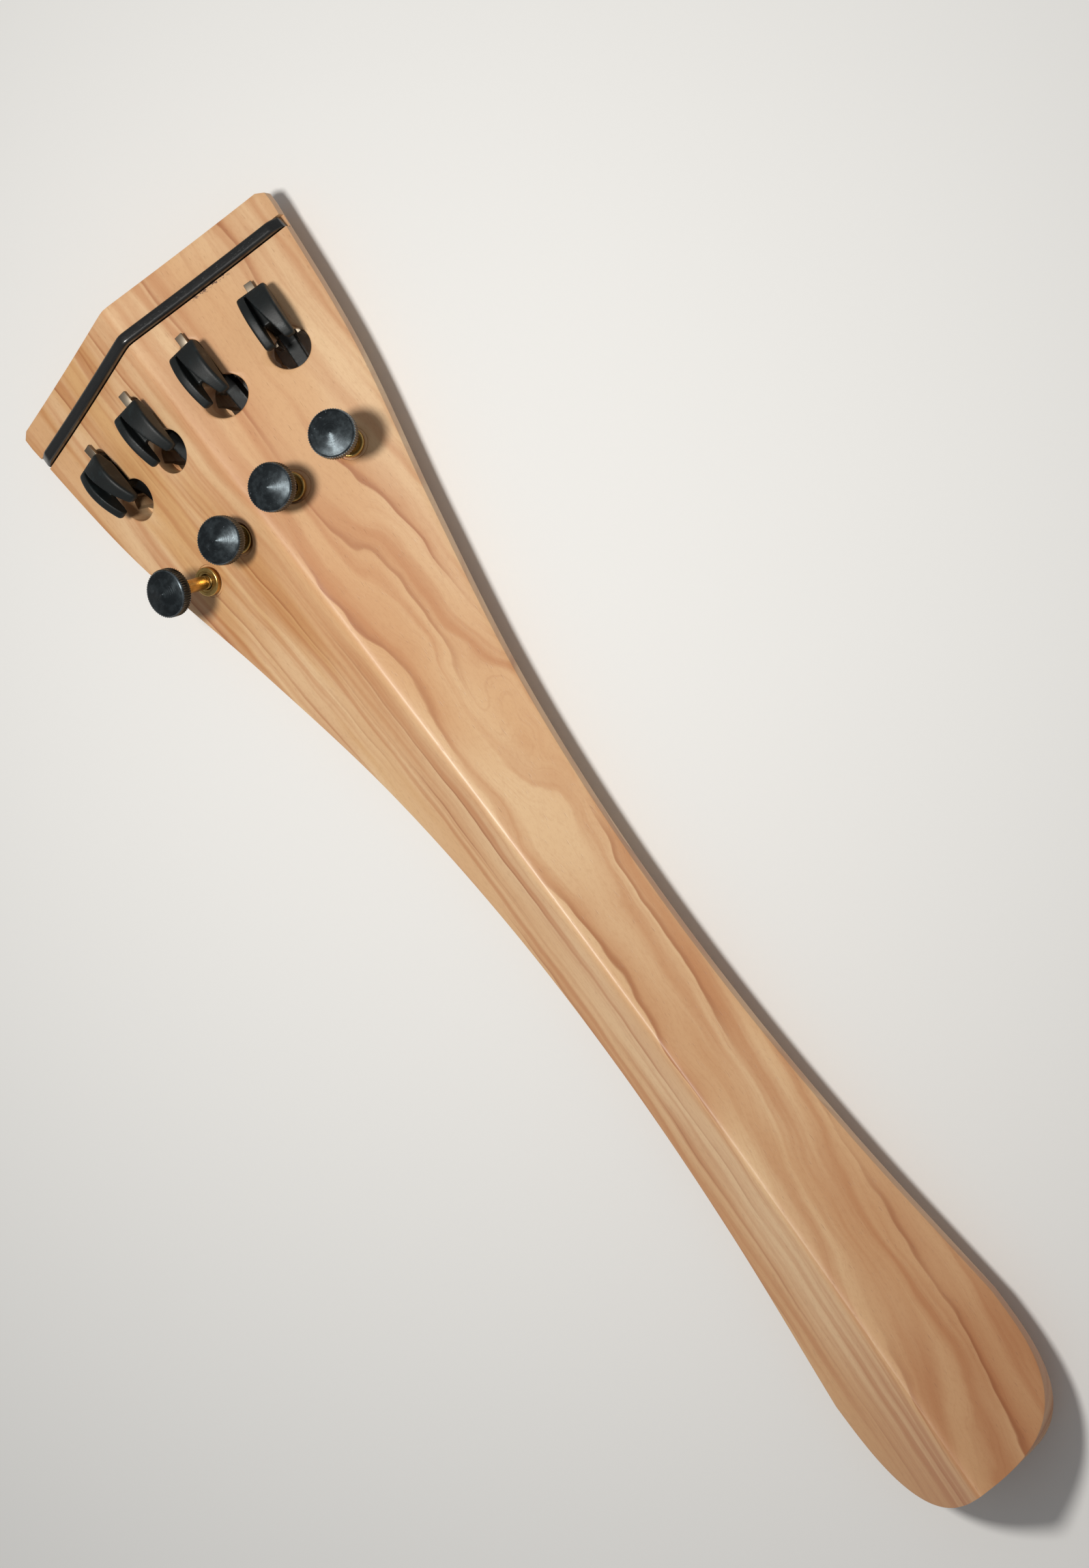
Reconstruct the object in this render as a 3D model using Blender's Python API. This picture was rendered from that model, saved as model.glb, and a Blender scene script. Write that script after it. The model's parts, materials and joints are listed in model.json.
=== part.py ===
"""Cello tailpiece in carved olive wood, with a black fret and four built-in fine tuners.

Frame: metres, +Z up.  +Y points to the wide head, where the strings leave towards the bridge,
and +X is to the right seen from above with the head up.  The origin is the middle of the
underside: the flat rim that the tailpiece rests on is the plane Z = 0.

Each fine tuner is drawn in millimetres in its own frame.  Its origin is the middle of the
tuner's keyhole on the wood, +Y runs along the lever to the head, and +Z is the way the
adjusting screw points out of the wood.
"""

import math

import bmesh
import bpy
from mathutils import Matrix, Vector

MM = 0.001

# ---------------------------------------------------------------- driving dimensions (mm)
LENGTH = 235.0
# (distance from the head, half the width) and (distance from the head, height of the ridge)
HALF_WIDTHS = ((0, 31.2), (30, 27.7), (60, 21.0), (90, 15.2),
               (120, 12.2), (150, 11.6), (180, 13.0), (212, 16.2))
RIDGE_HEIGHTS = ((0, 11.8), (60, 9.5), (120, 7.9), (180, 9.3), (235, 13.6))
TAIL_START = 212.0
TAIL_SQUARENESS = 3.0
TAIL_TURN = math.radians(86.0)
TAIL_ROWS = 10
HEAD_CORNER = 1.6
RIDGE_ROUNDING = 0.55
FACET_HOLLOW = 0.35
SIDE_BAND = 1.8
RIM_DEPTH = 7.4
UNDERCUT = 4.5
HEAD_UNDERCUT = 0.8
FIT_GAP = 0.15
HOLLOW_START = 60.0
HOLLOW_END = 185.0
HOLLOW_WALL = 3.2
HOLLOW_CEILING = 1.5
CORD_RECESS_START = 198.0
CORD_RECESS_END = 214.0
CORD_RECESS_HALF = 8.5
CORD_RECESS_CEILING = 3.0
CORD_HOLE_X = 5.0
CORD_HOLE_RADIUS = 1.9
CORD_HOLE_HEIGHT = -0.5

FRET_FROM_HEAD = 6.5
FRET_WIDTH = 2.1
FRET_PROUD = 1.4
FRET_SEAT = 1.4
FRET_HALF_LENGTH = 30.1
FRET_END_SLOPE = 1.8
FRET_END_HEIGHT = 0.3
FRET_SHOULDER = 0.35

POCKET_CEILING = -3.5
POCKET_HALF = 4.3
POCKET_ARM_HALF = 3.0
POCKET_FRONT = 15.2
POCKET_REAR = -22.5
KEYHOLE_FROM_HEAD = 24.3
KEYHOLE_RADIUS = 3.65
KEYHOLE_SLOT_HALF = 1.6
KEYHOLE_FRONT = 11.5

AXLE_Y = 4.5
AXLE_Z = -5.4
AXLE_RADIUS = 0.8
AXLE_BORE = AXLE_RADIUS + FIT_GAP
HUB_RADIUS = 1.7
ARM_HALF = 1.2
HEAD_HALF = 2.85
HEAD_TOP_Z = 5.6
HEAD_TOP_Y = 4.6
HEAD_CURVE = 0.062
HEAD_FRONT_Y = 9.2
HEAD_BACK_Y = -1.2
HEAD_EDGE = 0.45
SLIT_FRONT_Y = 10.2
SLIT_BACK_Y = -2.0
SLIT_LEFT = -1.25
SLIT_FRONT_RIGHT = -0.95
SLIT_BACK_RIGHT = 1.35
SLIT_FLOOR = 3.0
BALL_ROOM_FLOOR = 1.0
SCREW_Y = -19.2
PAD_TOP_Z = -8.1
PAD_REACH = 1.4

KNOB_RADIUS = 4.05
KNOB_RIM = 2.2
KNOB_CONE = 0.9
SHANK_RADIUS = 1.15
SHANK_BELOW_KNOB = 12.5
SHANK_IN_KNOB = 1.3
FLANGE_SEAT_Z = -0.3
FLANGE_RADIUS = 2.47
FLANGE_THICKNESS = 1.0
FLANGE_EDGE = 0.25
BUSH_RADIUS = 1.9

BRACKET_LOW = -4.5
BRACKET_HIGH = -3.8
FORK_HALF = 2.6
FORK_GAP_HALF = 1.9
FORK_BACK_Y = 2.4
FORK_FRONT_Y = 9.6
PLATE_FRONT_Y = 14.6
CHEEK_BOTTOM = -7.2
CHEEK_FRONT_Y = 6.8
TAB_HALF = 0.85
TAB_BACK_Y = 9.8
TAB_FRONT_Y = 12.9
TAB_LOW = 0.55
TAB_HIGH = 1.05
TAB_THICKNESS = 0.7
BRACKET_SCREW_Y = 12.8
BRACKET_SCREW_HEAD = 1.6
BRACKET_SCREW_SHANK = 0.7
BRACKET_SCREW_SLOT_HALF = 0.22
PILOT_RADIUS = 0.85
FOOT_HOLE_RADIUS = 0.9
AXLE_HALF_LENGTH = 2.9
CUT_PAST = 4.0

# name, sideways place of the keyhole, plan slope, outward tilt in degrees,
# knob underside above its flange seat, forward lean of the lever in degrees
TUNERS = (
    ("1", -19.15, -0.087, -13.2, 9.5, 0.0),
    ("2", -6.9, -0.02, -0.8, 5.2, 0.0),
    ("3", 6.9, 0.02, 0.8, 6.3, 2.7),
    ("4", 19.15, 0.087, 13.2, 8.5, 8.0),
)
PLAN_REACH = 12.0

MATERIALS = {
    "olive_wood": ((0.62, 0.39, 0.21), 0.5, 0.0),
    "fret_black": ((0.012, 0.011, 0.011), 0.3, 0.0),
    "lever_composite": ((0.025, 0.03, 0.033), 0.55, 0.0),
    "knob_black": ((0.022, 0.026, 0.03), 0.35, 0.6),
    "brass": ((0.62, 0.42, 0.14), 0.3, 1.0),
    "steel": ((0.55, 0.53, 0.5), 0.35, 1.0),
}


# ---------------------------------------------------------------- helpers
def clear_scene():
    for old in list(bpy.data.objects):
        bpy.data.objects.remove(old, do_unlink=True)


def make_materials():
    made = {}
    for name, (colour, roughness, metallic) in MATERIALS.items():
        material = bpy.data.materials.new(name)
        material.use_nodes = True
        shader = material.node_tree.nodes["Principled BSDF"]
        shader.inputs["Base Color"].default_value = (*colour, 1.0)
        shader.inputs["Roughness"].default_value = roughness
        shader.inputs["Metallic"].default_value = metallic
        material.diffuse_color = (*colour, 1.0)
        made[name] = material
    return made


def new_object(name, points, faces, material=None, parent=None):
    """A closed mesh from points in millimetres, with its faces turned outwards."""
    mesh = bpy.data.meshes.new(name)
    mesh.from_pydata([Vector(p) * MM for p in points], [], faces)
    shape = bmesh.new()
    shape.from_mesh(mesh)
    bmesh.ops.recalc_face_normals(shape, faces=shape.faces)
    shape.to_mesh(mesh)
    shape.free()
    made = bpy.data.objects.new(name, mesh)
    bpy.context.scene.collection.objects.link(made)
    if material:
        mesh.materials.append(material)
        mesh.shade_smooth()
        mesh.set_sharp_from_angle(angle=math.radians(32))
    else:
        made.hide_render = True
        made.display_type = "WIRE"
    made.parent = parent
    return made


def prism(name, outline, low, high, axis="z", **options):
    """An outline pushed from low to high along x or z.  Along x the outline is (y, z)."""
    place = {"z": lambda a, b, c: (a, b, c), "x": lambda a, b, c: (c, a, b)}[axis]
    count = len(outline)
    points = [place(a, b, low) for a, b in outline] + [place(a, b, high) for a, b in outline]
    faces = [tuple(range(count)), tuple(range(count, 2 * count))]
    for i in range(count):
        j = (i + 1) % count
        faces.append((i, j, count + j, count + i))
    return new_object(name, points, faces, **options)


def turned(name, profile, sides=28, centre=(0, 0), **options):
    """A solid of revolution about z.  The profile is (radius, z) and starts and ends on the axis."""
    points = [(centre[0], centre[1], profile[0][1])]
    for radius, z in profile[1:-1]:
        for k in range(sides):
            turn = 2 * math.pi * k / sides
            across = centre[0] + radius * math.cos(turn)
            along = centre[1] + radius * math.sin(turn)
            points.append((across, along, z))
    points.append((centre[0], centre[1], profile[-1][1]))
    rings = len(profile) - 2
    faces = []
    for k in range(sides):
        after = (k + 1) % sides
        faces.append((0, 1 + after, 1 + k))
        for ring in range(rings - 1):
            base = 1 + ring * sides
            faces.append((base + k, base + after, base + sides + after, base + sides + k))
        top = 1 + (rings - 1) * sides
        faces.append((top + k, top + after, len(points) - 1))
    return new_object(name, points, faces, **options)


def rod_along_x(name, radius, half_length, y, z, sides=24, **options):
    turns = [2 * math.pi * k / sides for k in range(sides)]
    circle = [(y + radius * math.cos(a), z + radius * math.sin(a)) for a in turns]
    return prism(name, circle, -half_length, half_length, axis="x", **options)


def box_outline(low, high):
    return [(low[0], low[1]), (high[0], low[1]), (high[0], high[1]), (low[0], high[1])]


def combine(target, tool, operation="DIFFERENCE"):
    step = target.modifiers.new(tool.name, "BOOLEAN")
    step.operation = operation
    step.object = tool
    step.solver = "EXACT"


def smooth_through(stations):
    """A smooth curve through a few (place, value) stations, as a function of place."""
    places = [float(s) for s, _ in stations]
    values = [v for _, v in stations]
    slopes = []
    for i in range(len(places)):
        before = max(i - 1, 0)
        after = min(i + 1, len(places) - 1)
        slopes.append((values[after] - values[before]) / (places[after] - places[before]))

    def value(place):
        place = min(max(place, places[0]), places[-1])
        i = min(sum(1 for s in places[1:] if s < place), len(places) - 2)
        run = places[i + 1] - places[i]
        t = (place - places[i]) / run
        start = (1 + 2 * t) * (1 - t) ** 2 * values[i] + t * (1 - t) ** 2 * run * slopes[i]
        return start + t * t * (3 - 2 * t) * values[i + 1] + t * t * (t - 1) * run * slopes[i + 1]

    return value


# ---------------------------------------------------------------- the carved body's surface
width_at = smooth_through(HALF_WIDTHS)
ridge_at = smooth_through(RIDGE_HEIGHTS)


def top_height(x, from_head):
    """Height of the gabled top above the top edge of the sides."""
    edge = width_at(from_head)
    across = (math.hypot(x, RIDGE_ROUNDING) - RIDGE_ROUNDING) / edge
    hollow = FACET_HOLLOW * 4 * across * (1 - across)
    return ridge_at(from_head) * (1 - across) - hollow


def world_point(x, from_head, height=0.0):
    """A place on the tailpiece, in millimetres in the object's own frame."""
    return Vector((x, LENGTH / 2 - from_head, height + RIM_DEPTH))


def outline_row(step, steps, inset):
    """Half width and distance from the head of one row, on an outline moved in by inset."""
    straight_steps = steps - TAIL_ROWS
    if step <= straight_steps:
        share = step / straight_steps
        from_head = TAIL_START * share ** 1.15
        corner = max(0.0, 1 - from_head / HEAD_CORNER)
        rounding = HEAD_CORNER * (1 - math.sqrt(1 - corner ** 2))
        shift = HEAD_UNDERCUT * (1 - share) if inset else 0.0
        return width_at(from_head) - inset - rounding, from_head + shift
    turn = TAIL_TURN * (step - straight_steps) / TAIL_ROWS
    power = 2 / TAIL_SQUARENESS
    half = (width_at(TAIL_START) - inset) * math.cos(turn) ** power
    reach = (LENGTH - TAIL_START - inset) * (math.sin(turn) / math.sin(TAIL_TURN)) ** power
    return half, TAIL_START + reach


def body_mesh(steps=54):
    """The outer form: gabled top, upright side band, undercut sides and a flat underside."""
    shares = (0, 0.025, 0.07, 0.16, 0.32, 0.55, 0.78, 1.0)
    across = [-u for u in reversed(shares[1:])] + list(shares)
    columns = len(across)
    points = []
    for step in range(steps + 1):
        half, from_head = outline_row(step, steps, 0.0)
        for u in across:
            points.append(world_point(u * half, from_head, top_height(u * half, from_head)))
    faces = []
    for step in range(steps):
        for c in range(columns - 1):
            a = step * columns + c
            faces.append((a, a + 1, a + 1 + columns, a + columns))
    last = steps * columns
    loop = [(step, 0) for step in range(steps + 1)] + [(steps, c) for c in range(1, columns)]
    loop += [(step, columns - 1) for step in range(steps - 1, -1, -1)]
    loop += [(0, c) for c in range(columns - 2, 0, -1)]
    band_start = last + columns
    for step, c in loop:
        half, from_head = outline_row(step, steps, 0.0)
        points.append(world_point(across[c] * half, from_head, -SIDE_BAND))
    rim_start = band_start + len(loop)
    for step, c in loop:
        half, from_head = outline_row(step, steps, UNDERCUT)
        points.append(world_point(across[c] * half, from_head, -RIM_DEPTH))
    count = len(loop)
    for i, (step, c) in enumerate(loop):
        j = (i + 1) % count
        after_step, after_c = loop[j]
        top_here = step * columns + c
        top_after = after_step * columns + after_c
        faces.append((top_here, top_after, band_start + j, band_start + i))
        faces.append((band_start + i, band_start + j, rim_start + j, rim_start + i))
    faces.append(tuple(range(rim_start, rim_start + count)))
    return points, faces


# ---------------------------------------------------------------- tuner frames
def tuner_frame(keyhole_x, slope, tilt):
    """The tuner's own axes on the wood, as a matrix in metres."""
    middle = world_point(keyhole_x, KEYHOLE_FROM_HEAD, top_height(keyhole_x, KEYHOLE_FROM_HEAD))
    front_from_head = KEYHOLE_FROM_HEAD - PLAN_REACH
    front_x = keyhole_x + PLAN_REACH * slope
    front = world_point(front_x, front_from_head, top_height(front_x, front_from_head))
    forward = (front - middle).normalized()
    out = Vector((math.sin(math.radians(tilt)), 0, math.cos(math.radians(tilt))))
    side = forward.cross(out).normalized()
    up = side.cross(forward)
    turn = Matrix((side, forward, up)).transposed().to_4x4()
    return Matrix.Translation(middle * MM) @ turn


def tuner_empty(name, frame, at=(0, 0, 0), parent=None, lean=0.0):
    empty = bpy.data.objects.new(name, None)
    bpy.context.scene.collection.objects.link(empty)
    if parent:
        empty.parent = parent
        leaned = Matrix.Rotation(math.radians(-lean), 4, "X")
        empty.matrix_local = Matrix.Translation(Vector(at) * MM) @ leaned
    else:
        empty.matrix_world = frame
    return empty


# ---------------------------------------------------------------- body and fret
def make_body(materials):
    points, faces = body_mesh()
    return new_object("tailpiece_body", points, faces, material=materials["olive_wood"])


def fret_sections(half_length, half_width, seat, proud, end_slope):
    """Cross sections of a bar that follows the gable across the head, from left to right."""
    inner = [0.0, 0.8, 2.0, 5.0, 15.0, half_length - end_slope, half_length]
    stations = [-x for x in reversed(inner[1:])] + inner
    sections = []
    for x in stations:
        base = top_height(x, FRET_FROM_HEAD)
        end = max(0.0, abs(x) - (half_length - end_slope)) / end_slope if end_slope else 0.0
        top = proud - end * (proud - FRET_END_HEIGHT)
        shoulder = FRET_SHOULDER * half_width if end_slope else 0.0
        ring = [(-half_width, -seat), (-half_width, top - shoulder), (-half_width + shoulder, top),
                (half_width - shoulder, top), (half_width, top - shoulder), (half_width, -seat)]
        if not end_slope:
            ring = [ring[0], ring[1], ring[4], ring[5]]
        sections.append([world_point(x, FRET_FROM_HEAD - y, base + z) for y, z in ring])
    return sections


def swept(name, sections, **options):
    count = len(sections[0])
    points = [p for section in sections for p in section]
    faces = [tuple(range(count)), tuple(range(len(points) - count, len(points)))]
    for row in range(len(sections) - 1):
        for i in range(count):
            j = (i + 1) % count
            a = row * count
            faces.append((a + i, a + j, a + count + j, a + count + i))
    return new_object(name, points, faces, **options)


def make_fret(materials, body):
    bar = fret_sections(FRET_HALF_LENGTH, FRET_WIDTH / 2, FRET_SEAT, FRET_PROUD, FRET_END_SLOPE)
    swept("fret", bar, material=materials["fret_black"])
    groove_half = FRET_WIDTH / 2 + FIT_GAP
    groove_depth = FRET_SEAT + FIT_GAP
    groove = fret_sections(FRET_HALF_LENGTH + CUT_PAST, groove_half, groove_depth, CUT_PAST, 0.0)
    combine(body, swept("cut_fret_groove", groove))


def cut_underside(body):
    """The long lightening hollow, and the tail cord's two holes with the recess they open into."""
    places = [HOLLOW_START + (HOLLOW_END - HOLLOW_START) * k / 10 for k in range(11)]
    right = [(width_at(s) - UNDERCUT - HOLLOW_WALL, LENGTH / 2 - s) for s in places]
    left = [(-x, y) for x, y in reversed(right)]
    combine(body, prism("cut_hollow", right + left, -CUT_PAST, RIM_DEPTH + HOLLOW_CEILING))
    back = LENGTH / 2 - CORD_RECESS_END
    front = LENGTH / 2 - CORD_RECESS_START
    recess = box_outline((-CORD_RECESS_HALF, back), (CORD_RECESS_HALF, front))
    combine(body, prism("cut_cord_recess", recess, -CUT_PAST, RIM_DEPTH + CORD_RECESS_CEILING))
    reach = LENGTH - CORD_RECESS_END + CUT_PAST
    bore = [(0, -2), (CORD_HOLE_RADIUS, -2), (CORD_HOLE_RADIUS, reach), (0, reach)]
    for side, x in (("left", -CORD_HOLE_X), ("right", CORD_HOLE_X)):
        hole = turned("cut_cord_hole_" + side, bore, sides=20)
        hole.location = Vector((x, back, RIM_DEPTH + CORD_HOLE_HEIGHT)) * MM
        hole.rotation_euler = (math.radians(90), 0, 0)
        combine(body, hole)


def cut_for_tuner(body, name, empty):
    """Keyhole, lever pocket, screw bush hole and bracket screw pilot hole of one tuner."""
    meeting = math.asin(KEYHOLE_SLOT_HALF / KEYHOLE_RADIUS)
    arc = [math.pi / 2 - meeting - (2 * math.pi - 2 * meeting) * k / 28 for k in range(29)]
    keyhole = [(KEYHOLE_RADIUS * math.cos(a), KEYHOLE_RADIUS * math.sin(a)) for a in arc]
    for k in range(7):
        a = math.pi - math.pi * k / 6
        keyhole.append((KEYHOLE_SLOT_HALF * math.cos(a),
                        KEYHOLE_FRONT - KEYHOLE_SLOT_HALF * (1 - math.sin(a))))
    above = 6.0
    below = -6.0
    combine(body, prism("cut_keyhole_" + name, keyhole, below, above, parent=empty))
    half = [(POCKET_ARM_HALF, POCKET_REAR), (POCKET_ARM_HALF, -0.5),
            (POCKET_HALF, 1.5), (POCKET_HALF, POCKET_FRONT)]
    pocket = half + [(-x, y) for x, y in reversed(half)]
    combine(body, prism("cut_pocket_" + name, pocket, -22.0, POCKET_CEILING, parent=empty))
    seat = FLANGE_SEAT_Z - FIT_GAP
    bore = BUSH_RADIUS + FIT_GAP
    face = FLANGE_RADIUS + 2 * FIT_GAP
    bush = [(0, below), (bore, below), (bore, seat), (face, seat), (face, above), (0, above)]
    combine(body, turned("cut_bush_" + name, bush, centre=(0, SCREW_Y), parent=empty))
    pilot = [(0, below), (PILOT_RADIUS, below), (PILOT_RADIUS, -1.6), (0, -1.4)]
    place = (0, BRACKET_SCREW_Y)
    combine(body, turned("cut_pilot_" + name, pilot, sides=12, centre=place, parent=empty))


# ---------------------------------------------------------------- one tuner's pieces
def make_bracket(name, empty, materials):
    """Folded steel: a forked plate, two cheeks for the axle, and a tab clinched over the wood."""
    inner = [(FORK_GAP_HALF, FORK_FRONT_Y), (FORK_GAP_HALF, FORK_BACK_Y)]
    half = inner + [(FORK_HALF, FORK_BACK_Y), (FORK_HALF, PLATE_FRONT_Y)]
    plate = half + [(-x, y) for x, y in reversed(half)]
    bracket = prism("tuner_bracket_" + name, plate, BRACKET_LOW, BRACKET_HIGH,
                    material=materials["steel"], parent=empty)
    fold = 0.5 * (BRACKET_LOW + BRACKET_HIGH)
    cheek = box_outline((FORK_BACK_Y, CHEEK_BOTTOM), (CHEEK_FRONT_Y, fold))
    for side, low, high in (("left", -FORK_HALF, -FORK_GAP_HALF), ("right", FORK_GAP_HALF, FORK_HALF)):
        wall = prism("join_cheek_%s_%s" % (side, name), cheek, low, high, axis="x", parent=empty)
        combine(bracket, wall, "UNION")
    bend = TAB_BACK_Y + TAB_THICKNESS
    tab = [(TAB_BACK_Y, fold), (bend, fold), (bend, TAB_LOW), (TAB_FRONT_Y, TAB_LOW),
           (TAB_FRONT_Y, TAB_HIGH), (TAB_BACK_Y, TAB_HIGH)]
    combine(bracket, prism("join_tab_" + name, tab, -TAB_HALF, TAB_HALF, axis="x", parent=empty), "UNION")
    combine(bracket, rod_along_x("cut_axle_" + name, AXLE_BORE, CUT_PAST, AXLE_Y, AXLE_Z, parent=empty))
    hole = [(0, -5), (FOOT_HOLE_RADIUS, -5), (FOOT_HOLE_RADIUS, -3), (0, -3)]
    place = (0, BRACKET_SCREW_Y)
    combine(bracket, turned("cut_foot_" + name, hole, sides=16, centre=place, parent=empty))


def make_bracket_screw(name, empty, materials):
    """Slotted cheese-head screw that holds the bracket's foot up against the wood."""
    head = BRACKET_SCREW_HEAD
    shank = BRACKET_SCREW_SHANK
    under_head = BRACKET_LOW - FIT_GAP
    bottom = -5.5
    profile = [(0, bottom), (head - 0.4, bottom), (head, bottom + 0.3), (head, under_head),
               (shank, under_head), (shank, -2.3), (0, -1.7)]
    screw = turned("bracket_screw_" + name, profile, sides=20, centre=(0, BRACKET_SCREW_Y),
                   material=materials["steel"], parent=empty)
    front = BRACKET_SCREW_Y + BRACKET_SCREW_SLOT_HALF
    back = BRACKET_SCREW_Y - BRACKET_SCREW_SLOT_HALF
    slot = box_outline((-CUT_PAST, back), (CUT_PAST, front))
    combine(screw, prism("cut_screw_slot_" + name, slot, bottom - 0.5, bottom + 0.35, parent=empty))


def lever_head_top(y):
    return HEAD_TOP_Z - HEAD_CURVE * (y - HEAD_TOP_Y) ** 2


def make_lever(name, empty, lean, materials):
    """Forked string head, neck, hub and the long arm that the screw presses, in one piece."""
    joint = tuner_empty("lever_axis_" + name, None, at=(0, AXLE_Y, AXLE_Z), parent=empty, lean=lean)

    def from_axle(outline):
        return [(y - AXLE_Y, z - AXLE_Z) for y, z in outline]

    along = [HEAD_FRONT_Y + (HEAD_BACK_Y - HEAD_FRONT_Y) * k / 12 for k in range(13)]
    head = [(y, lever_head_top(y)) for y in along]
    head += [(-1.1, 2.3), (2.0, 2.1), (6.5, 1.8), (9.3, 2.9)]
    lever = prism("lever_" + name, from_axle(head), -HEAD_HALF, HEAD_HALF, axis="x",
                  material=materials["lever_composite"], parent=joint)
    rounding = lever.modifiers.new("rounded_edges", "BEVEL")
    rounding.width = HEAD_EDGE * MM
    rounding.segments = 2
    rounding.limit_method = "ANGLE"
    rounding.angle_limit = math.radians(35)
    turns = [math.radians(a) for a in (150, 180, 210, 240, 270, 300, 330, 360, 30)]
    hub = [(AXLE_Y + HUB_RADIUS * math.cos(a), AXLE_Z + HUB_RADIUS * math.sin(a)) for a in turns[5:]]
    tail = SCREW_Y - PAD_REACH
    arm = [(3.4, 2.6), (3.4, -3.2), (1.6, -4.4), (tail, PAD_TOP_Z - 0.25),
           (tail, PAD_TOP_Z - 1.7), (2.6, -6.7)]
    arm += hub + [(7.0, -2.2), (7.0, 2.6)]
    web = prism("join_arm_" + name, from_axle(arm), -ARM_HALF, ARM_HALF, axis="x", parent=joint)
    combine(lever, web, "UNION")
    slit = [(SLIT_LEFT, SLIT_FRONT_Y), (SLIT_FRONT_RIGHT, SLIT_FRONT_Y),
            (SLIT_BACK_RIGHT, SLIT_BACK_Y), (SLIT_LEFT, SLIT_BACK_Y)]
    slit = [(x, y - AXLE_Y) for x, y in slit]
    floor = SLIT_FLOOR - AXLE_Z
    combine(lever, prism("cut_slit_" + name, slit, floor, floor + 6.0, parent=joint))
    ball_room = [(SLIT_LEFT, SLIT_BACK_Y), (SLIT_BACK_RIGHT, SLIT_BACK_Y), (1.1, 3.0), (SLIT_LEFT, 3.0)]
    ball_room = [(x, y - AXLE_Y) for x, y in ball_room]
    room_floor = BALL_ROOM_FLOOR - AXLE_Z
    combine(lever, prism("cut_ball_room_" + name, ball_room, room_floor, floor + 0.5, parent=joint))
    combine(lever, rod_along_x("cut_hub_" + name, AXLE_BORE, CUT_PAST, 0.0, 0.0, parent=joint))


def make_axle(name, empty, materials):
    """Plain pin through the bracket's cheeks, which the lever tilts on."""
    rod_along_x("lever_axle_" + name, AXLE_RADIUS, AXLE_HALF_LENGTH, AXLE_Y, AXLE_Z,
                material=materials["steel"], parent=empty)


def make_bush(name, empty, materials):
    """Flanged brass bush whose thread guides the adjusting screw."""
    low = POCKET_CEILING + 0.3
    top = FLANGE_SEAT_Z + FLANGE_THICKNESS
    profile = [(0, low), (BUSH_RADIUS, low), (BUSH_RADIUS, FLANGE_SEAT_Z), (FLANGE_RADIUS, FLANGE_SEAT_Z),
               (FLANGE_RADIUS, top - FLANGE_EDGE), (FLANGE_RADIUS - FLANGE_EDGE, top), (0, top)]
    bush = turned("screw_bush_" + name, profile, centre=(0, SCREW_Y),
                  material=materials["brass"], parent=empty)
    bore = SHANK_RADIUS + FIT_GAP
    through = [(0, low - 1), (bore, low - 1), (bore, top + 1), (0, top + 1)]
    combine(bush, turned("cut_thread_" + name, through, centre=(0, SCREW_Y), parent=empty))


def make_screw_and_knob(name, empty, knob_rise, materials):
    """Brass shank with a rounded tip, and the black knob on it.  Both have their origin on the axis."""
    underside = FLANGE_SEAT_Z + knob_rise
    axis = tuner_empty("screw_axis_" + name, None, at=(0, SCREW_Y, underside), parent=empty)
    turns = [math.radians(a) for a in (0, 30, 60, 90)]
    centre = SHANK_RADIUS - SHANK_BELOW_KNOB
    shank = [(SHANK_RADIUS * math.sin(a), centre - SHANK_RADIUS * math.cos(a)) for a in turns]
    shank += [(SHANK_RADIUS, SHANK_IN_KNOB), (0, SHANK_IN_KNOB)]
    turned("tuning_screw_" + name, shank, sides=24, material=materials["brass"], parent=axis)
    profile = [(0, 0), (KNOB_RADIUS - 0.3, 0), (KNOB_RADIUS, 0.3), (KNOB_RADIUS, KNOB_RIM - 0.15),
               (KNOB_RADIUS - 0.15, KNOB_RIM), (0, KNOB_RIM + KNOB_CONE)]
    knob = turned("tuning_knob_" + name, profile, sides=40, material=materials["knob_black"], parent=axis)
    radius = SHANK_RADIUS + FIT_GAP
    deep = SHANK_IN_KNOB + FIT_GAP
    socket = [(0, -1), (radius, -1), (radius, deep), (0, deep)]
    combine(knob, turned("cut_socket_" + name, socket, parent=axis))


def main():
    clear_scene()
    materials = make_materials()
    body = make_body(materials)
    make_fret(materials, body)
    cut_underside(body)
    for name, keyhole_x, slope, tilt, knob_rise, lean in TUNERS:
        empty = tuner_empty("tuner_" + name, tuner_frame(keyhole_x, slope, tilt))
        cut_for_tuner(body, name, empty)
        make_bracket(name, empty, materials)
        make_bracket_screw(name, empty, materials)
        make_axle(name, empty, materials)
        make_lever(name, empty, lean, materials)
        make_bush(name, empty, materials)
        make_screw_and_knob(name, empty, knob_rise, materials)


main()
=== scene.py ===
"""Looks of a cello tailpiece in olive wood with four built-in fine tuners.

Laid out as an add-on: property groups hold the sizes and colours that a user would change, and
each piece or group of like pieces has an operator.  Everything is in metres in the frame of the
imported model, whose joints and boxes say where the pieces go.
"""

import json
import math

import bmesh
import bpy
from bpy.props import FloatProperty, FloatVectorProperty, IntProperty, PointerProperty
from mathutils import Matrix, Vector


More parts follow.
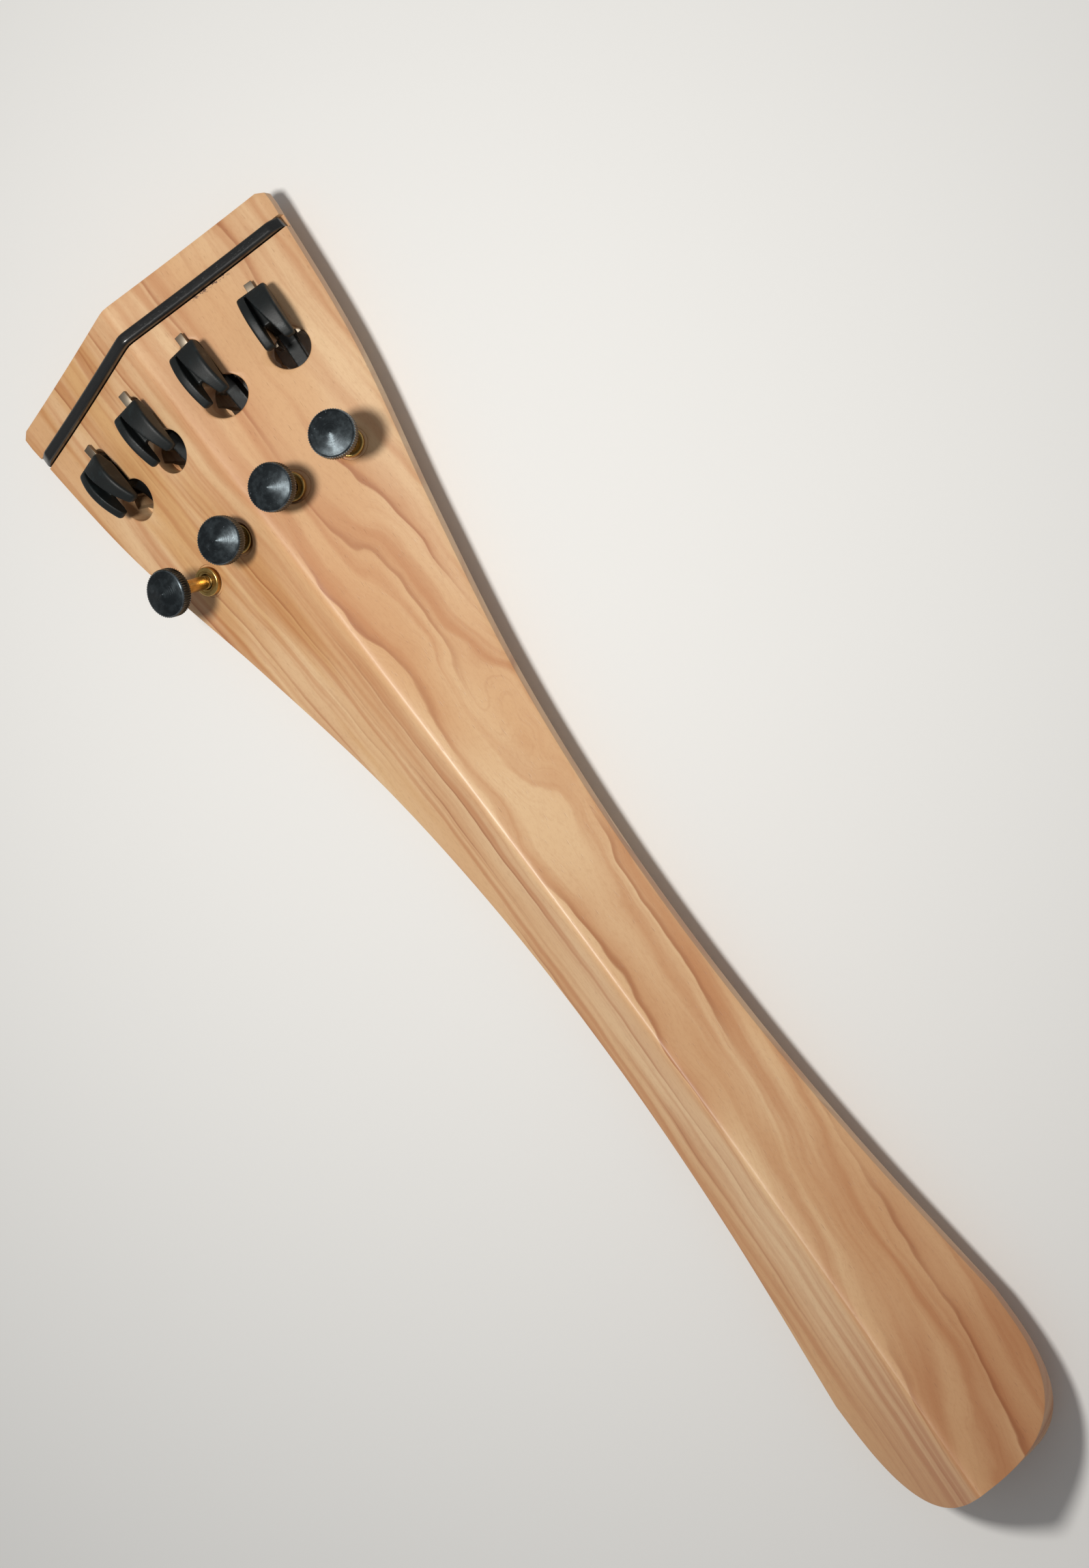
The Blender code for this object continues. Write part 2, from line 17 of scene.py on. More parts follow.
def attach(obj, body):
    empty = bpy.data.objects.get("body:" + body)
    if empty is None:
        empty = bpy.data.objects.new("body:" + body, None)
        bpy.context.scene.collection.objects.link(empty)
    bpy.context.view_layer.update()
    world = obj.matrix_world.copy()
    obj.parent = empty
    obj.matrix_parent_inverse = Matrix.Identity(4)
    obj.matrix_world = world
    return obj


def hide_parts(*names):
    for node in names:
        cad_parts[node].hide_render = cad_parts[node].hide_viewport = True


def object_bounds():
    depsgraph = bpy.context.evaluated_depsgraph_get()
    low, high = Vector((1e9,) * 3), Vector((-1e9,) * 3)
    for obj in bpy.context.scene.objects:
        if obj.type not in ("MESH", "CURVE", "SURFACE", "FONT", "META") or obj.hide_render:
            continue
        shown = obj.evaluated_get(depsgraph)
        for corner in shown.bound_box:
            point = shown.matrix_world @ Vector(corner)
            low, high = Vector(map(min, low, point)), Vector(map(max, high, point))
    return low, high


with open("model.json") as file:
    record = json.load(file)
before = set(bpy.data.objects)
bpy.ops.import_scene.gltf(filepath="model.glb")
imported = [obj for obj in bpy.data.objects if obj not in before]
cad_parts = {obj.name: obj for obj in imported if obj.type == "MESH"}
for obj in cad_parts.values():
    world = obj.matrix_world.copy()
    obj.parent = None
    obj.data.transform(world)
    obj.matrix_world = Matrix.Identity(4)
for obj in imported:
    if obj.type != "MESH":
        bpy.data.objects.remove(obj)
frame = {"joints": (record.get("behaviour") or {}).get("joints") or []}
CAD_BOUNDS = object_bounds()

bl_info = {
    "name": "Cello tailpiece with fine tuners",
    "version": (1, 0, 0),
    "blender": (4, 5, 0),
    "location": "View3D > Sidebar > Tailpiece",
    "description": "Builds the looks of a cello tailpiece around its solid model",
    "category": "Object",
}

MM = 0.001
TUNER_NAMES = ("1", "2", "3", "4")

# The carved wood, in millimetres, as the solid model has it.
LENGTH = round((CAD_BOUNDS[1].y - CAD_BOUNDS[0].y) / MM, 3)
HALF_WIDTHS = ((0, 31.2), (30, 27.7), (60, 21.0), (90, 15.2), (120, 12.2), (150, 11.6),
               (180, 13.0), (212, 16.2))
WIDEST = CAD_BOUNDS[1].x / MM
RIDGE_HEIGHTS = ((0, 11.8), (60, 9.5), (120, 7.9), (180, 9.3), (235, 13.6))
TAIL_START = 212.0
TAIL_SQUARENESS = 3.0
TAIL_TURN = math.radians(86.0)  # where the tail's arch meets its flat end
HEAD_CORNER = 1.6
RIDGE_ROUNDING = 0.55
FACET_HOLLOW = 0.35
SIDE_BAND = 1.8
RIM_DEPTH = 7.4
UNDERCUT = 4.5
HEAD_UNDERCUT = 0.8
FIT_GAP = 0.15
HOLLOW_START = 60.0
HOLLOW_END = 185.0
HOLLOW_WALL = 3.2
HOLLOW_CEILING = 1.5
CORD_RECESS_START = 198.0
CORD_RECESS_END = 214.0
CORD_RECESS_HALF = 8.5
CORD_RECESS_CEILING = 3.0
CORD_HOLE_X = 5.0
CORD_HOLE_RADIUS = 1.9
CORD_HOLE_HEIGHT = -0.5
CORD_HOLE_ENDS = (-2.0, 30.0)
TAIL_ROWS = 30
ROW_CROWDING = 1.1
COLUMN_CROWDING = 1.15
GROOVE_STEP = 0.53
GROOVE_STEPS = 66
FRET_FROM_HEAD = 6.5
FRET_WIDTH = 2.1
FRET_PROUD = 1.4
FRET_SEAT = 1.4
FRET_HALF_LENGTH = 30.1
FRET_END_SLOPE = 1.8
FRET_END_PROUD = 0.3
FRET_ROUNDING = 0.62
FRET_GROOVE_TOP = 4.0
BELOW_WOOD = -4.0
FINE_EDGE = 0.12

# Places and sizes in a tuner's own frame, in millimetres: its origin is the middle of the keyhole
# on the wood, +Y runs to the head and +Z the way the adjusting screw points out.  A SIDE is the
# right-hand half of an outline or a profile for turning, and ENDS are the two ends of a cut.
KEYHOLE_RADIUS = 3.65
SLOT_HALF = 1.6
KEYHOLE_FRONT = 11.5
POCKET_CEILING = -3.5
AXLE = (0.0, 4.5, -5.4)
AXLE_RADIUS = 0.8
HUB_RADIUS = 1.7
ARM_HALF = 1.2
HEAD_HALF = 2.85
HEAD_TOP_Z = 5.6
HEAD_TOP_Y = 4.6
HEAD_CURVE = 0.062
HEAD_FRONT_Y = 9.2
HEAD_BACK_Y = -1.2
SCREW_Y = -19.2
PAD_TOP_Z = -8.1
KNOB_RADIUS = 4.05
KNOB_RIM = 2.2
KNOB_CONE = 0.9
SHANK_RADIUS = 1.15
SHANK_BELOW_KNOB = 12.5
SHANK_IN_KNOB = 1.3
THREAD_LENGTH = 3.5
FLANGE_SEAT_Z = -0.3
FLANGE_RADIUS = 2.47
FLANGE_THICKNESS = 1.0
BUSH_RADIUS = 1.9
BRACKET_SCREW_Y = 12.8
LEANS = {"1": 0.0, "2": 0.0, "3": 2.7, "4": 8.0}  # degrees that each lever tips to the head
CUTTER_TOP = 8.0
EDGE_TURNS = [math.radians(turn) for turn in (0, 25, 50, 70)]
KEYHOLE_CUT_BOTTOM = -6.0
POCKET_BOTTOM = -22.0
POCKET_SIDE = ((3.0, -22.5), (3.0, -0.5), (4.3, 1.5), (4.3, 15.2))
BUSH_BORE_ENDS = (-6.0, 2.0)
PILOT_SIDE = ((0, -6), (0.85, -6), (0.85, -1.6), (0, -1.4))
HEAD_FOOT = ((-1.1, 2.3), (2.0, 2.1), (6.5, 1.8), (9.3, 2.9))
HEAD_ROUNDING = 0.5
ARM_BACK = ((3.4, 2.6), (3.4, -3.2), (1.6, -4.4))
ARM_PAD = ((SCREW_Y - 1.4, PAD_TOP_Z - 0.25), (SCREW_Y - 1.4, PAD_TOP_Z - 1.7), (2.6, -6.7))
ARM_FRONT = ((7.0, -2.2), (7.0, 2.6))
STRING_SLIT = ((-1.3, 8.7), (-1.05, 8.9), (1.35, -2.0), (-1.25, -2.0))
STRING_SLIT_ENDS = (3.0, 9.0)
BALL_ROOM = ((-1.25, -2.0), (1.35, -2.0), (1.1, 3.0), (-1.25, 3.0))
BALL_ROOM_ENDS = (1.0, 3.5)
AXLE_CUT_HALF = 4.0
KNOB_EDGE = 0.14
THREAD_RIDGE = 0.13
THREAD_ABOVE_TIP = 1.3
PLATE_SIDE = ((1.9, 9.6), (1.9, 2.4), (2.6, 2.4), (2.6, 14.6))
PLATE_ENDS = (-4.5, -3.8)
CHEEK = ((2.4, -7.2), (6.8, -7.2), (6.8, -4.15), (2.4, -4.15))
CHEEK_ENDS = ((-2.6, -1.9), (1.9, 2.6))
TAB_BACK = ((9.8, -4.15), (10.5, -4.15), (10.5, 0.55), (12.7, 0.55), (12.7, 1.05))
TAB_BEND = (10.45, 0.6)
TAB_BEND_RADIUS = 0.45
TAB_FOOT = (9.8, 0.5)
TAB_HALF = 0.75
FOOT_HOLE = ((0, -5), (0.9, -5), (0.9, -3), (0, -3))
PIN_HALF = 2.9
SCREW_HEAD = ((0, -5.5), (1.2, -5.5), (1.38, -5.47), (1.53, -5.36), (1.6, -5.2), (1.6, -4.72),
              (1.53, -4.65))
SCREW_POINT = ((0.7, -4.65), (0.7, -2.3), (0.35, -1.9), (0, -1.7))
SCREW_SLOT = ((-2.0, -0.22), (2.0, -0.22), (2.0, 0.22), (-2.0, 0.22))
SCREW_SLOT_ENDS = (-6.0, -5.15)

# Camera and light, in millimetres.
CAMERA_PLACE = (191.05, -91.31, 462.79)
CAMERA_RIGHT = (0.6951, -0.5889, -0.4124)
CAMERA_FORWARD = (-0.3661, 0.2039, -0.9080)
KEY_PLACE = (20.0, 62.0, 330.0)
KEY_COLOUR = (1.0, 0.97, 0.93)
SKY_COLOUR = (0.97, 0.98, 1.0, 1.0)
FLOOR_HALF = 3000.0

# Colours that multiply the wood's colour: amber stains, and a darker, redder tone towards the tail.
AMBER_TINT = (0.82, 0.66, 0.44)
TAIL_TINT = (0.76, 0.6, 0.5)


# ---- node trees
class Wire:
    """One socket of a node tree, with arithmetic that adds Math nodes."""

    def __init__(self, tree, socket):
        self.tree = tree
        self.socket = socket

    def maths(self, operation, *others, clamp=False):
        settings = {"operation": operation, "use_clamp": clamp}
        return self.tree.node("ShaderNodeMath", settings, dict(enumerate((self,) + others))).out(0)

    def __add__(self, other):
        return self.maths("ADD", other)

    def __sub__(self, other):
        return self.maths("SUBTRACT", other)

    def __rsub__(self, other):
        return (self * -1.0) + other

    def __mul__(self, other):
        return self.maths("MULTIPLY", other)

    def __truediv__(self, other):
        return self.maths("DIVIDE", other)

    def __pow__(self, other):
        return self.maths("POWER", other)

    __radd__ = __add__
    __rmul__ = __mul__

    def sine(self):
        return self.maths("SINE")

    def clamped(self):
        return self.maths("ADD", 0.0, clamp=True)

    def between(self, low, high):
        """0 at low and 1 at high, with soft ends."""
        values = {0: self, 1: low, 2: high, 3: 0.0, 4: 1.0}
        settings = {"interpolation_type": "SMOOTHSTEP"}
        return self.tree.node("ShaderNodeMapRange", settings, values).out(0)

    def millimetres(self):
        """The three parts of a place in metres, in millimetres."""
        split = self.tree.node("ShaderNodeSeparateXYZ", {}, {0: self})
        return tuple(split.out(axis) * 1000.0 for axis in range(3))


class Step:
    """A node just made, whose outputs are read as wires."""

    def __init__(self, tree, made):
        self.tree = tree
        self.made = made

    def out(self, key):
        return Wire(self.tree, self.made.outputs[key])


class Tree:
    """Builds any node from its type, its settings and the values or links of its sockets."""

    def __init__(self, nodes):
        self.tree = nodes

    def node(self, kind, settings=None, values=None):
        made = self.tree.nodes.new(kind)
        for name, value in (settings or {}).items():
            setattr(made, name, value)
        for key, value in (values or {}).items():
            self.feed(made.inputs[key], value)
        return Step(self, made)

    def feed(self, socket, value):
        if isinstance(value, Wire):
            self.tree.links.new(value.socket, socket)
        else:
            socket.default_value = value

    def vector(self, x, y, z):
        return self.node("ShaderNodeCombineXYZ", {}, {0: x, 1: y, 2: z}).out(0)

    def place(self):
        """The point on the whole object, in metres."""
        return self.node("ShaderNodeTexCoord").out("Object")

    def own(self):
        """The point in the piece's own frame, in metres, kept when the piece was settled."""
        return self.node("ShaderNodeAttribute", {"attribute_name": "own_place"}).out("Vector")

    def noise(self, place, scale, detail=2.0, roughness=0.5):
        values = {"Vector": place, "Scale": scale, "Detail": detail, "Roughness": roughness}
        return self.node("ShaderNodeTexNoise", {}, values).out(0)

    def streaks(self, x, y, z, detail=2.0, roughness=0.5, scale=1.0):
        """Noise drawn out by a different factor along each axis."""
        return self.noise(self.vector(x, y, z), scale, detail, roughness)

    def mix(self, share, first, second, blend="MIX"):
        """Two colours mixed by a share."""
        values = {0: share, 6: colour4(first), 7: colour4(second)}
        settings = {"data_type": "RGBA", "blend_type": blend}
        return self.node("ShaderNodeMix", settings, values).out(2)

    def bump(self, height, depth_mm):
        values = {"Height": height, "Distance": depth_mm * MM, "Strength": 1.0}
        return self.node("ShaderNodeBump", {}, values).out(0)


class Finish(Tree):
    """A material with one Principled shader."""

    def __init__(self, name):
        self.material = bpy.data.materials.new(name)
        self.material.use_nodes = True
        super().__init__(self.material.node_tree)
        self.shader = self.tree.nodes["Principled BSDF"]

    def set(self, **sockets):
        for name, value in sockets.items():
            self.feed(self.shader.inputs[name.replace("_", " ")], value)
        return self.material


def linear(red, green, blue):
    """A screen colour, 0 to 255, as linear light."""
    return tuple(((c / 255 + 0.055) / 1.055) ** 2.4 for c in (red, green, blue))


def colour4(colour):
    """A colour with its fourth part, or a wire as it is."""
    return colour if isinstance(colour, Wire) else (*colour, 1.0)


def shaded(colour, shade):
    return tuple(part * shade for part in colour)


# ---- materials
def floor_finish(stage):
    """Plain pale paper with the faintest tooth."""
    finish = Finish("pale_floor")
    tooth = finish.noise(finish.place(), 900.0, 3.0, 0.6)
    colour = finish.mix(tooth * 0.06, stage.floor_colour, shaded(stage.floor_colour, 0.85))
    return finish.set(Base_Color=colour, Roughness=0.85, Specular_IOR_Level=0.2)


def olive_wood_finish(wood):
    """Oiled olive wood: warm ground, wavy red-brown growth rings along +Y, pores and specks."""
    finish = Finish("olive_wood")
    x, y, z = finish.place().millimetres()
    streak = wood.streak_colour
    dark = wood.line_colour
    # Growth rings are shells round a line beside the wood, bent by slow and quick waves.
    slow = finish.streaks(x * 0.03, y * 0.009, z * 0.04)
    waves = finish.streaks(x * 0.07 + 7.0, y * 0.045, z * 0.08)
    ripple = finish.streaks(x * 0.3, y * 0.1, z * 0.3 + 3.0)
    # The waves are strongest on the right-hand side, a third of the way down.
    restless = x.between(-4.0, 8.0) * y.between(-30.0, 25.0) * (1.0 - y.between(60.0, 85.0))
    across = x - y * 0.03 + 46.0
    depth = z + 18.0
    shell = (across * across + depth * depth) ** 0.5
    wavy = (waves - 0.5) * (restless * 5.0 + 2.0)
    bent = shell + (slow - 0.5) * 9.0 + wavy + (ripple - 0.5) * 0.9
    rings = bent * 0.21
    ring = rings.maths("FRACT")
    # A thin dark line starts each ring, and its stain fades towards the next one.
    stain = (1.0 - ring) ** 1.8 * ring.between(0.0, 0.05)
    line = ring.between(0.0, 0.03) * (1.0 - ring.between(0.03, 0.15))
    which = finish.streaks(rings - ring, y * 0.014, 0.0, 1.0, 0.5, 1.7)
    strength = which.between(0.4, 0.66)
    fine = finish.streaks(bent * 0.5, y * 0.013, z * 0.02, 2.5, 0.55)
    silk = finish.streaks(bent * 9.0, y * 0.06, z * 0.05, 2.0, 0.6)
    patch = finish.streaks(x * 0.06, y * 0.014 + 4.0, z * 0.05)
    ground = finish.mix(patch.between(0.36, 0.64), wood.pale_colour, wood.ground_colour)
    veined = finish.mix(fine.between(0.42, 0.7) * 0.65, ground, streak)
    stained = finish.mix(stain * strength * 0.7, veined, streak)
    lined = finish.mix(line * strength * 0.6, stained, dark)
    silky = finish.mix(silk.between(0.5, 0.8) * 0.14, lined, shaded(dark, 1.2))
    # Amber stains on the left-hand side behind the knobs.
    amber = finish.streaks(x * 0.16 + 2.0, y * 0.018, z * 0.1).between(0.42, 0.62)
    left = (x * -1.0).between(1.0, 9.0) * y.between(5.0, 40.0)
    glowing = finish.mix(amber * left * 0.75, silky, AMBER_TINT, "MULTIPLY")
    # The wood turns darker and redder towards the tail and its right-hand side.
    tail = (x * 1.6 - y).between(50.0, 125.0)
    warm = finish.mix(tail * 0.75, glowing, TAIL_TINT, "MULTIPLY")
    flecks = finish.streaks(x * 2.2, y * 0.9, z * 2.2, 3.0, 0.7)
    lively = finish.mix(flecks.between(0.45, 0.7) * 0.13, warm, shaded(streak, 0.8))
    pores = finish.streaks(x * 5.5, y * 0.6, z * 5.5, 1.0).between(0.66, 0.8)
    pored = finish.mix(pores * 0.22, lively, shaded(dark, 0.6))
    # A few small dark specks of stain along the back of the fret.
    speckle = finish.streaks(x * 1.2, y * 1.6, z, 2.0, 0.6, 1.6).between(0.52, 0.6)
    beside = x.between(11.0, 13.0) * (1.0 - x.between(18.0, 20.0))
    behind = y.between(108.9, 109.6) * (1.0 - y.between(109.9, 110.1)) * z.between(11.0, 12.0)
    marked = finish.mix(speckle * beside * behind * 0.8, pored, linear(58, 36, 44))
    relief = silk * 0.4 + flecks * 0.5 + pores * -0.8
    return finish.set(Base_Color=marked, Roughness=0.34 + patch * 0.1 + fine * 0.08,
                      Normal=finish.bump(relief, 0.02), Coat_Weight=0.16, Coat_Roughness=0.3,
                      Specular_IOR_Level=0.4)


def fret_finish(wood):
    """Polished ebony: near black, with a little brown along the grain and fine scratches."""
    finish = Finish("fret_black")
    x, y, z = finish.place().millimetres()
    grain = finish.streaks(x * 0.16, y * 3.0, z * 2.0, 3.0, 0.6)
    scratches = finish.streaks(x * 0.9, y * 9.0, z * 3.0).between(0.6, 0.72)
    colour = finish.mix(grain.between(0.5, 0.8) * 0.4, wood.fret_colour, linear(40, 32, 28))
    return finish.set(Base_Color=colour, Roughness=0.22 + grain * 0.14 + scratches * 0.12,
                      Normal=finish.bump(grain + scratches * 0.4, 0.012), Coat_Weight=0.3,
                      Coat_Roughness=0.15)


def lever_finish(tuners):
    """Matt moulded fibre composite, blue-black, with paler, glossier patches here and there that
    are a painted sheen.
    """
    finish = Finish("lever_composite")
    place = finish.place()
    cloud = finish.noise(place, 520.0, 4.0, 0.6)
    grit = finish.noise(place, 6500.0, 2.0, 0.6)
    # Patches of painted sheen: a paler colour, and a little glossier.
    rubbed_and_sheen = cloud.between(0.5, 0.74)
    colour = finish.mix(rubbed_and_sheen * 0.55, tuners.lever_colour, tuners.lever_painted_sheen_colour)
    return finish.set(Base_Color=colour, Roughness=0.44 - rubbed_and_sheen * 0.12 + grit * 0.1,
                      Specular_IOR_Level=0.35, Normal=finish.bump(grit + cloud * 0.8, 0.02))


def knob_finish(tuners):
    """Blackened turned metal: fine turning rings about the knob's axis, small dings and rubs, with
    a painted sheen in patches and on the rim's top edge, and painted glints on the knurl.
    """
    finish = Finish("knob_black")
    x, y, z = finish.own().millimetres()
    radius = (x * x + y * y) ** 0.5
    top = z.between(KNOB_RIM - 0.3, KNOB_RIM - 0.1)
    rings = (radius * 52.0).sine() * 0.5 + 0.5
    uneven = finish.streaks(radius * 7.0, 0.0, 0.0, 2.0, 0.6)
    cloud = finish.noise(finish.place(), 700.0, 3.0, 0.6)
    dings = finish.noise(finish.place(), 2300.0).between(0.7, 0.75)
    edge = radius.between(KNOB_RADIUS - 0.34, KNOB_RADIUS - 0.22) * top
    # Painted sheen: a paler colour in patches, on the rim's top edge and along the turning rings.
    sheen = (cloud.between(0.4, 0.75) * 0.5 + edge * 0.5 + uneven * 0.15).clamped()
    colour = finish.mix(sheen, tuners.knob_colour, tuners.knob_painted_sheen_colour)
    bare = (dings * 0.5 + edge * cloud.between(0.4, 0.6) * 0.45).clamped()
    worn = finish.mix(bare, colour, linear(120, 128, 136))
    # The knurl's outer faces are paler: rubbed, with painted glints.
    knurl_tips = radius.between(KNOB_RADIUS - 0.12, KNOB_RADIUS - 0.06)
    rubbed_and_sheen = knurl_tips * z.between(0.9, KNOB_RIM - 0.3)
    knurled = finish.mix(rubbed_and_sheen * 0.6, worn, linear(128, 134, 134))
    relief = rings * 0.6 * top + uneven * 0.8 * top - dings * 1.2
    return finish.set(Base_Color=knurled, Roughness=0.2 + uneven * 0.12 + cloud * 0.06,
                      Metallic=0.85, Normal=finish.bump(relief, 0.011))


def brass_finish(tuners):
    """Turned brass, lightly tarnished in clouds and specks."""
    finish = Finish("brass")
    x, y, z = finish.own().millimetres()
    tarnish = tuners.brass_tarnish_colour
    cloud = finish.noise(finish.place(), 420.0, 4.0, 0.6)
    specks = finish.noise(finish.place(), 3800.0).between(0.62, 0.74)
    drawn = finish.streaks(x * 9.0, y * 9.0, z * 0.35)
    stain = (cloud.between(0.4, 0.72) * 0.5 + drawn.between(0.45, 0.7) * 0.3).clamped()
    colour = finish.mix(stain, tuners.brass_colour, tarnish)
    spotted = finish.mix(specks * 0.35, colour, shaded(tarnish, 0.5))
    relief = drawn * 0.5 + cloud * 0.4 - specks
    return finish.set(Base_Color=spotted, Roughness=0.24 + cloud * 0.14 + specks * 0.15,
                      Metallic=1.0, Normal=finish.bump(relief, 0.006))


def steel_finish(tuners):
    """Dull nickelled steel with drawn lines and brownish clouds."""
    finish = Finish("steel")
    x, y, z = finish.own().millimetres()
    drawn = finish.streaks(x * 9.0, y * 0.4, z * 0.4, 2.0, 0.6)
    cloud = finish.noise(finish.place(), 500.0, 4.0, 0.6)
    colour = finish.mix(cloud.between(0.4, 0.7) * 0.7, tuners.steel_colour,
                        linear(132, 112, 92))
    return finish.set(Base_Color=colour, Roughness=0.34 + cloud * 0.2 + drawn * 0.1,
                      Metallic=1.0, Normal=finish.bump(drawn, 0.005))


# ---- shapes of the wood
def smooth_through(stations):
    """A smooth curve through a few (place, value) stations, as a function of place."""
    places = [float(s) for s, _ in stations]
    values = [v for _, v in stations]
    slopes = []
    for i in range(len(places)):
        before = max(i - 1, 0)
        after = min(i + 1, len(places) - 1)
        slopes.append((values[after] - values[before]) / (places[after] - places[before]))

    def value(place):
        place = min(max(place, places[0]), places[-1])
        i = min(sum(1 for s in places[1:] if s < place), len(places) - 2)
        run = places[i + 1] - places[i]
        t = (place - places[i]) / run
        start = (1 + 2 * t) * (1 - t) ** 2 * values[i] + t * (1 - t) ** 2 * run * slopes[i]
        return start + t * t * (3 - 2 * t) * values[i + 1] + t * t * (t - 1) * run * slopes[i + 1]

    return value


width_at = smooth_through(HALF_WIDTHS)
ridge_at = smooth_through(RIDGE_HEIGHTS)


def top_height(x, from_head):
    """Height of the gabled top above the top edge of the sides, in millimetres."""
    edge = width_at(from_head)
    across = (math.hypot(x, RIDGE_ROUNDING) - RIDGE_ROUNDING) / edge
    hollow = FACET_HOLLOW * 4 * across * (1 - across)
    return ridge_at(from_head) * (1 - across) - hollow


def wood_point(x, from_head, height=0.0):
    """A place in metres, from millimetres across, from the head and above the side edge."""
    return Vector((x, LENGTH / 2 - from_head, height + RIM_DEPTH)) * MM


def outline_row(share, inset):
    """Half width and distance from the head: sides up to a share of 1, then the tail up to 2."""
    if share <= 1.0:
        from_head = TAIL_START * share
        corner = max(0.0, 1 - from_head / HEAD_CORNER)
        rounding = HEAD_CORNER * (1 - math.sqrt(1 - corner ** 2))
        shift = HEAD_UNDERCUT * (1 - share) if inset else 0.0
        return min(width_at(from_head) - rounding, WIDEST) - inset, from_head + shift
    turn = TAIL_TURN * (share - 1.0)
    power = 2 / TAIL_SQUARENESS
    half = (width_at(TAIL_START) - inset) * math.cos(turn) ** power
    reach = (LENGTH - TAIL_START - inset) * (math.sin(turn) / math.sin(TAIL_TURN)) ** power
    return half, TAIL_START + reach


# ---- mesh helpers
def link(name, mesh):
    made = bpy.data.objects.new(name, mesh)
    bpy.context.scene.collection.objects.link(made)
    return made


def mesh_object(name, points, faces, place=None):
    """An object at the origin whose mesh holds its place.  Points are in metres."""
    mesh = bpy.data.meshes.new(name)
    mesh.from_pydata([place @ Vector(p) for p in points] if place else points, [], faces)
    shape = bmesh.new()
    shape.from_mesh(mesh)
    bmesh.ops.recalc_face_normals(shape, faces=shape.faces)
    shape.to_mesh(mesh)
    shape.free()
    return link(name, mesh)


def band(first, second):
    """Faces between two closed loops of points."""
    after = [(i + 1) % len(first) for i in range(len(first))]
    return [(first[i], first[j], second[j], second[i]) for i, j in enumerate(after)]


def swept(name, sections, place=None):
    """A bar through like cross sections, closed at both ends."""
    count = len(sections[0])
    loops = [range(row * count, (row + 1) * count) for row in range(len(sections))]
    faces = [tuple(loops[0]), tuple(loops[-1])]
    for first, second in zip(loops, loops[1:]):
        faces += band(first, second)
    return mesh_object(name, [p for section in sections for p in section], faces, place)


def prism(name, outline, ends, place=None, axis="z"):
    """An outline in millimetres pushed from one end to the other along x or z."""
    if axis == "x":
        sections = [[Vector((end, a, b)) * MM for a, b in outline] for end in ends]
    else:
        sections = [[Vector((a, b, end)) * MM for a, b in outline] for end in ends]
    return swept(name, sections, place)


def rod(radius, low, high):
    """The profile of a plain rod, for turning."""
    return [(0, low), (radius, low), (radius, high), (0, high)]


def mirrored(side):
    """A closed outline from its right-hand side."""
    return list(side) + [(-x, y) for x, y in reversed(side)]


def around(centre, radius, turn, z):
    x, y = centre
    return Vector((x + radius * math.cos(turn), y + radius * math.sin(turn), z)) * MM


def turned(name, profile, sides=48, place=None, centre=(0.0, 0.0)):
    """A solid of revolution about z in millimetres.  The profile is (radius, z), axis to axis."""
    points = [Vector((centre[0], centre[1], profile[0][1])) * MM]
    for radius, z in profile[1:-1]:
        for k in range(sides):
            turn = 2 * math.pi * k / sides
            points.append(around(centre, radius, turn, z))
    points.append(Vector((centre[0], centre[1], profile[-1][1])) * MM)
    rings = len(profile) - 2
    faces = []
    for k in range(sides):
        after = (k + 1) % sides
        faces.append((0, 1 + after, 1 + k))
        for ring in range(rings - 1):
            base = 1 + ring * sides
            faces.append((base + k, base + after, base + sides + after, base + sides + k))
        top = 1 + (rings - 1) * sides
        faces.append((top + k, top + after, len(points) - 1))
    return mesh_object(name, points, faces, place)


def round_arc(centre, radius, start, end, steps):
    """Points of an arc in a profile's plane, angles in degrees."""
    points = []
    for k in range(steps + 1):
        turn = math.radians(start + (end - start) * k / steps)
        points.append((centre[0] + radius * math.cos(turn), centre[1] + radius * math.sin(turn)))
    return points


def circle(centre, radius, steps):
    return round_arc(centre, radius, 0, 360, steps)[:-1]


def cut(target, *tools, operation="DIFFERENCE"):
    """Applies booleans straight away and removes the tools."""
    for tool in tools:
        step = target.modifiers.new(tool.name, "BOOLEAN")
        step.operation = operation
        step.object = tool
        step.solver = "EXACT"
        step.use_self = tool.name.startswith("cut_keyhole")
        bake(target)
        bpy.data.objects.remove(tool, do_unlink=True)


def bake(target):
    """Turns an object's modifiers into plain mesh."""
    bpy.context.view_layer.update()
    graph = bpy.context.evaluated_depsgraph_get()
    mesh = bpy.data.meshes.new_from_object(target.evaluated_get(graph))
    target.modifiers.clear()
    old = target.data
    target.data = mesh
    bpy.data.meshes.remove(old)
    mesh.name = target.name


def bevelled(target, width_mm, segments=3, angle=32.0):
    step = target.modifiers.new("rounded_edges", "BEVEL")
    step.width = width_mm * MM
    step.segments = segments
    step.limit_method = "ANGLE"
    step.angle_limit = math.radians(angle)
    step.use_clamp_overlap = True
    bake(target)


def finished(piece, material, body, slot, *nodes, sharp=40.0):
    """Gives a piece its material and shading, and puts it on its body in place of CAD nodes."""
    piece.data.materials.clear()
    piece.data.materials.append(material)
    piece.data.shade_smooth()
    piece.data.set_sharp_from_angle(angle=math.radians(sharp))
    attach(piece, body)
    if nodes:
        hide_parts(*nodes)
    return piece


# ---- places of the tuners
def joint_named(name):
    return next(j for j in frame["joints"] if j["name"] == name)


def tuner_place(number):
    """The tuner's own frame, read from the axes of its lever and its knob."""
    lever = joint_named("lever_%s_tilt" % number)
    knob = joint_named("knob_%s_turn" % number)
    side = Vector(lever["axis"]).normalized()
    up = -Vector(knob["axis"]).normalized()
    forward = up.cross(side)
    turn = Matrix((side, forward, up)).transposed().to_4x4()
    origin = Vector(lever["pos_m"]) - turn.to_3x3() @ (Vector(AXLE) * MM)
    return Matrix.Translation(origin) @ turn


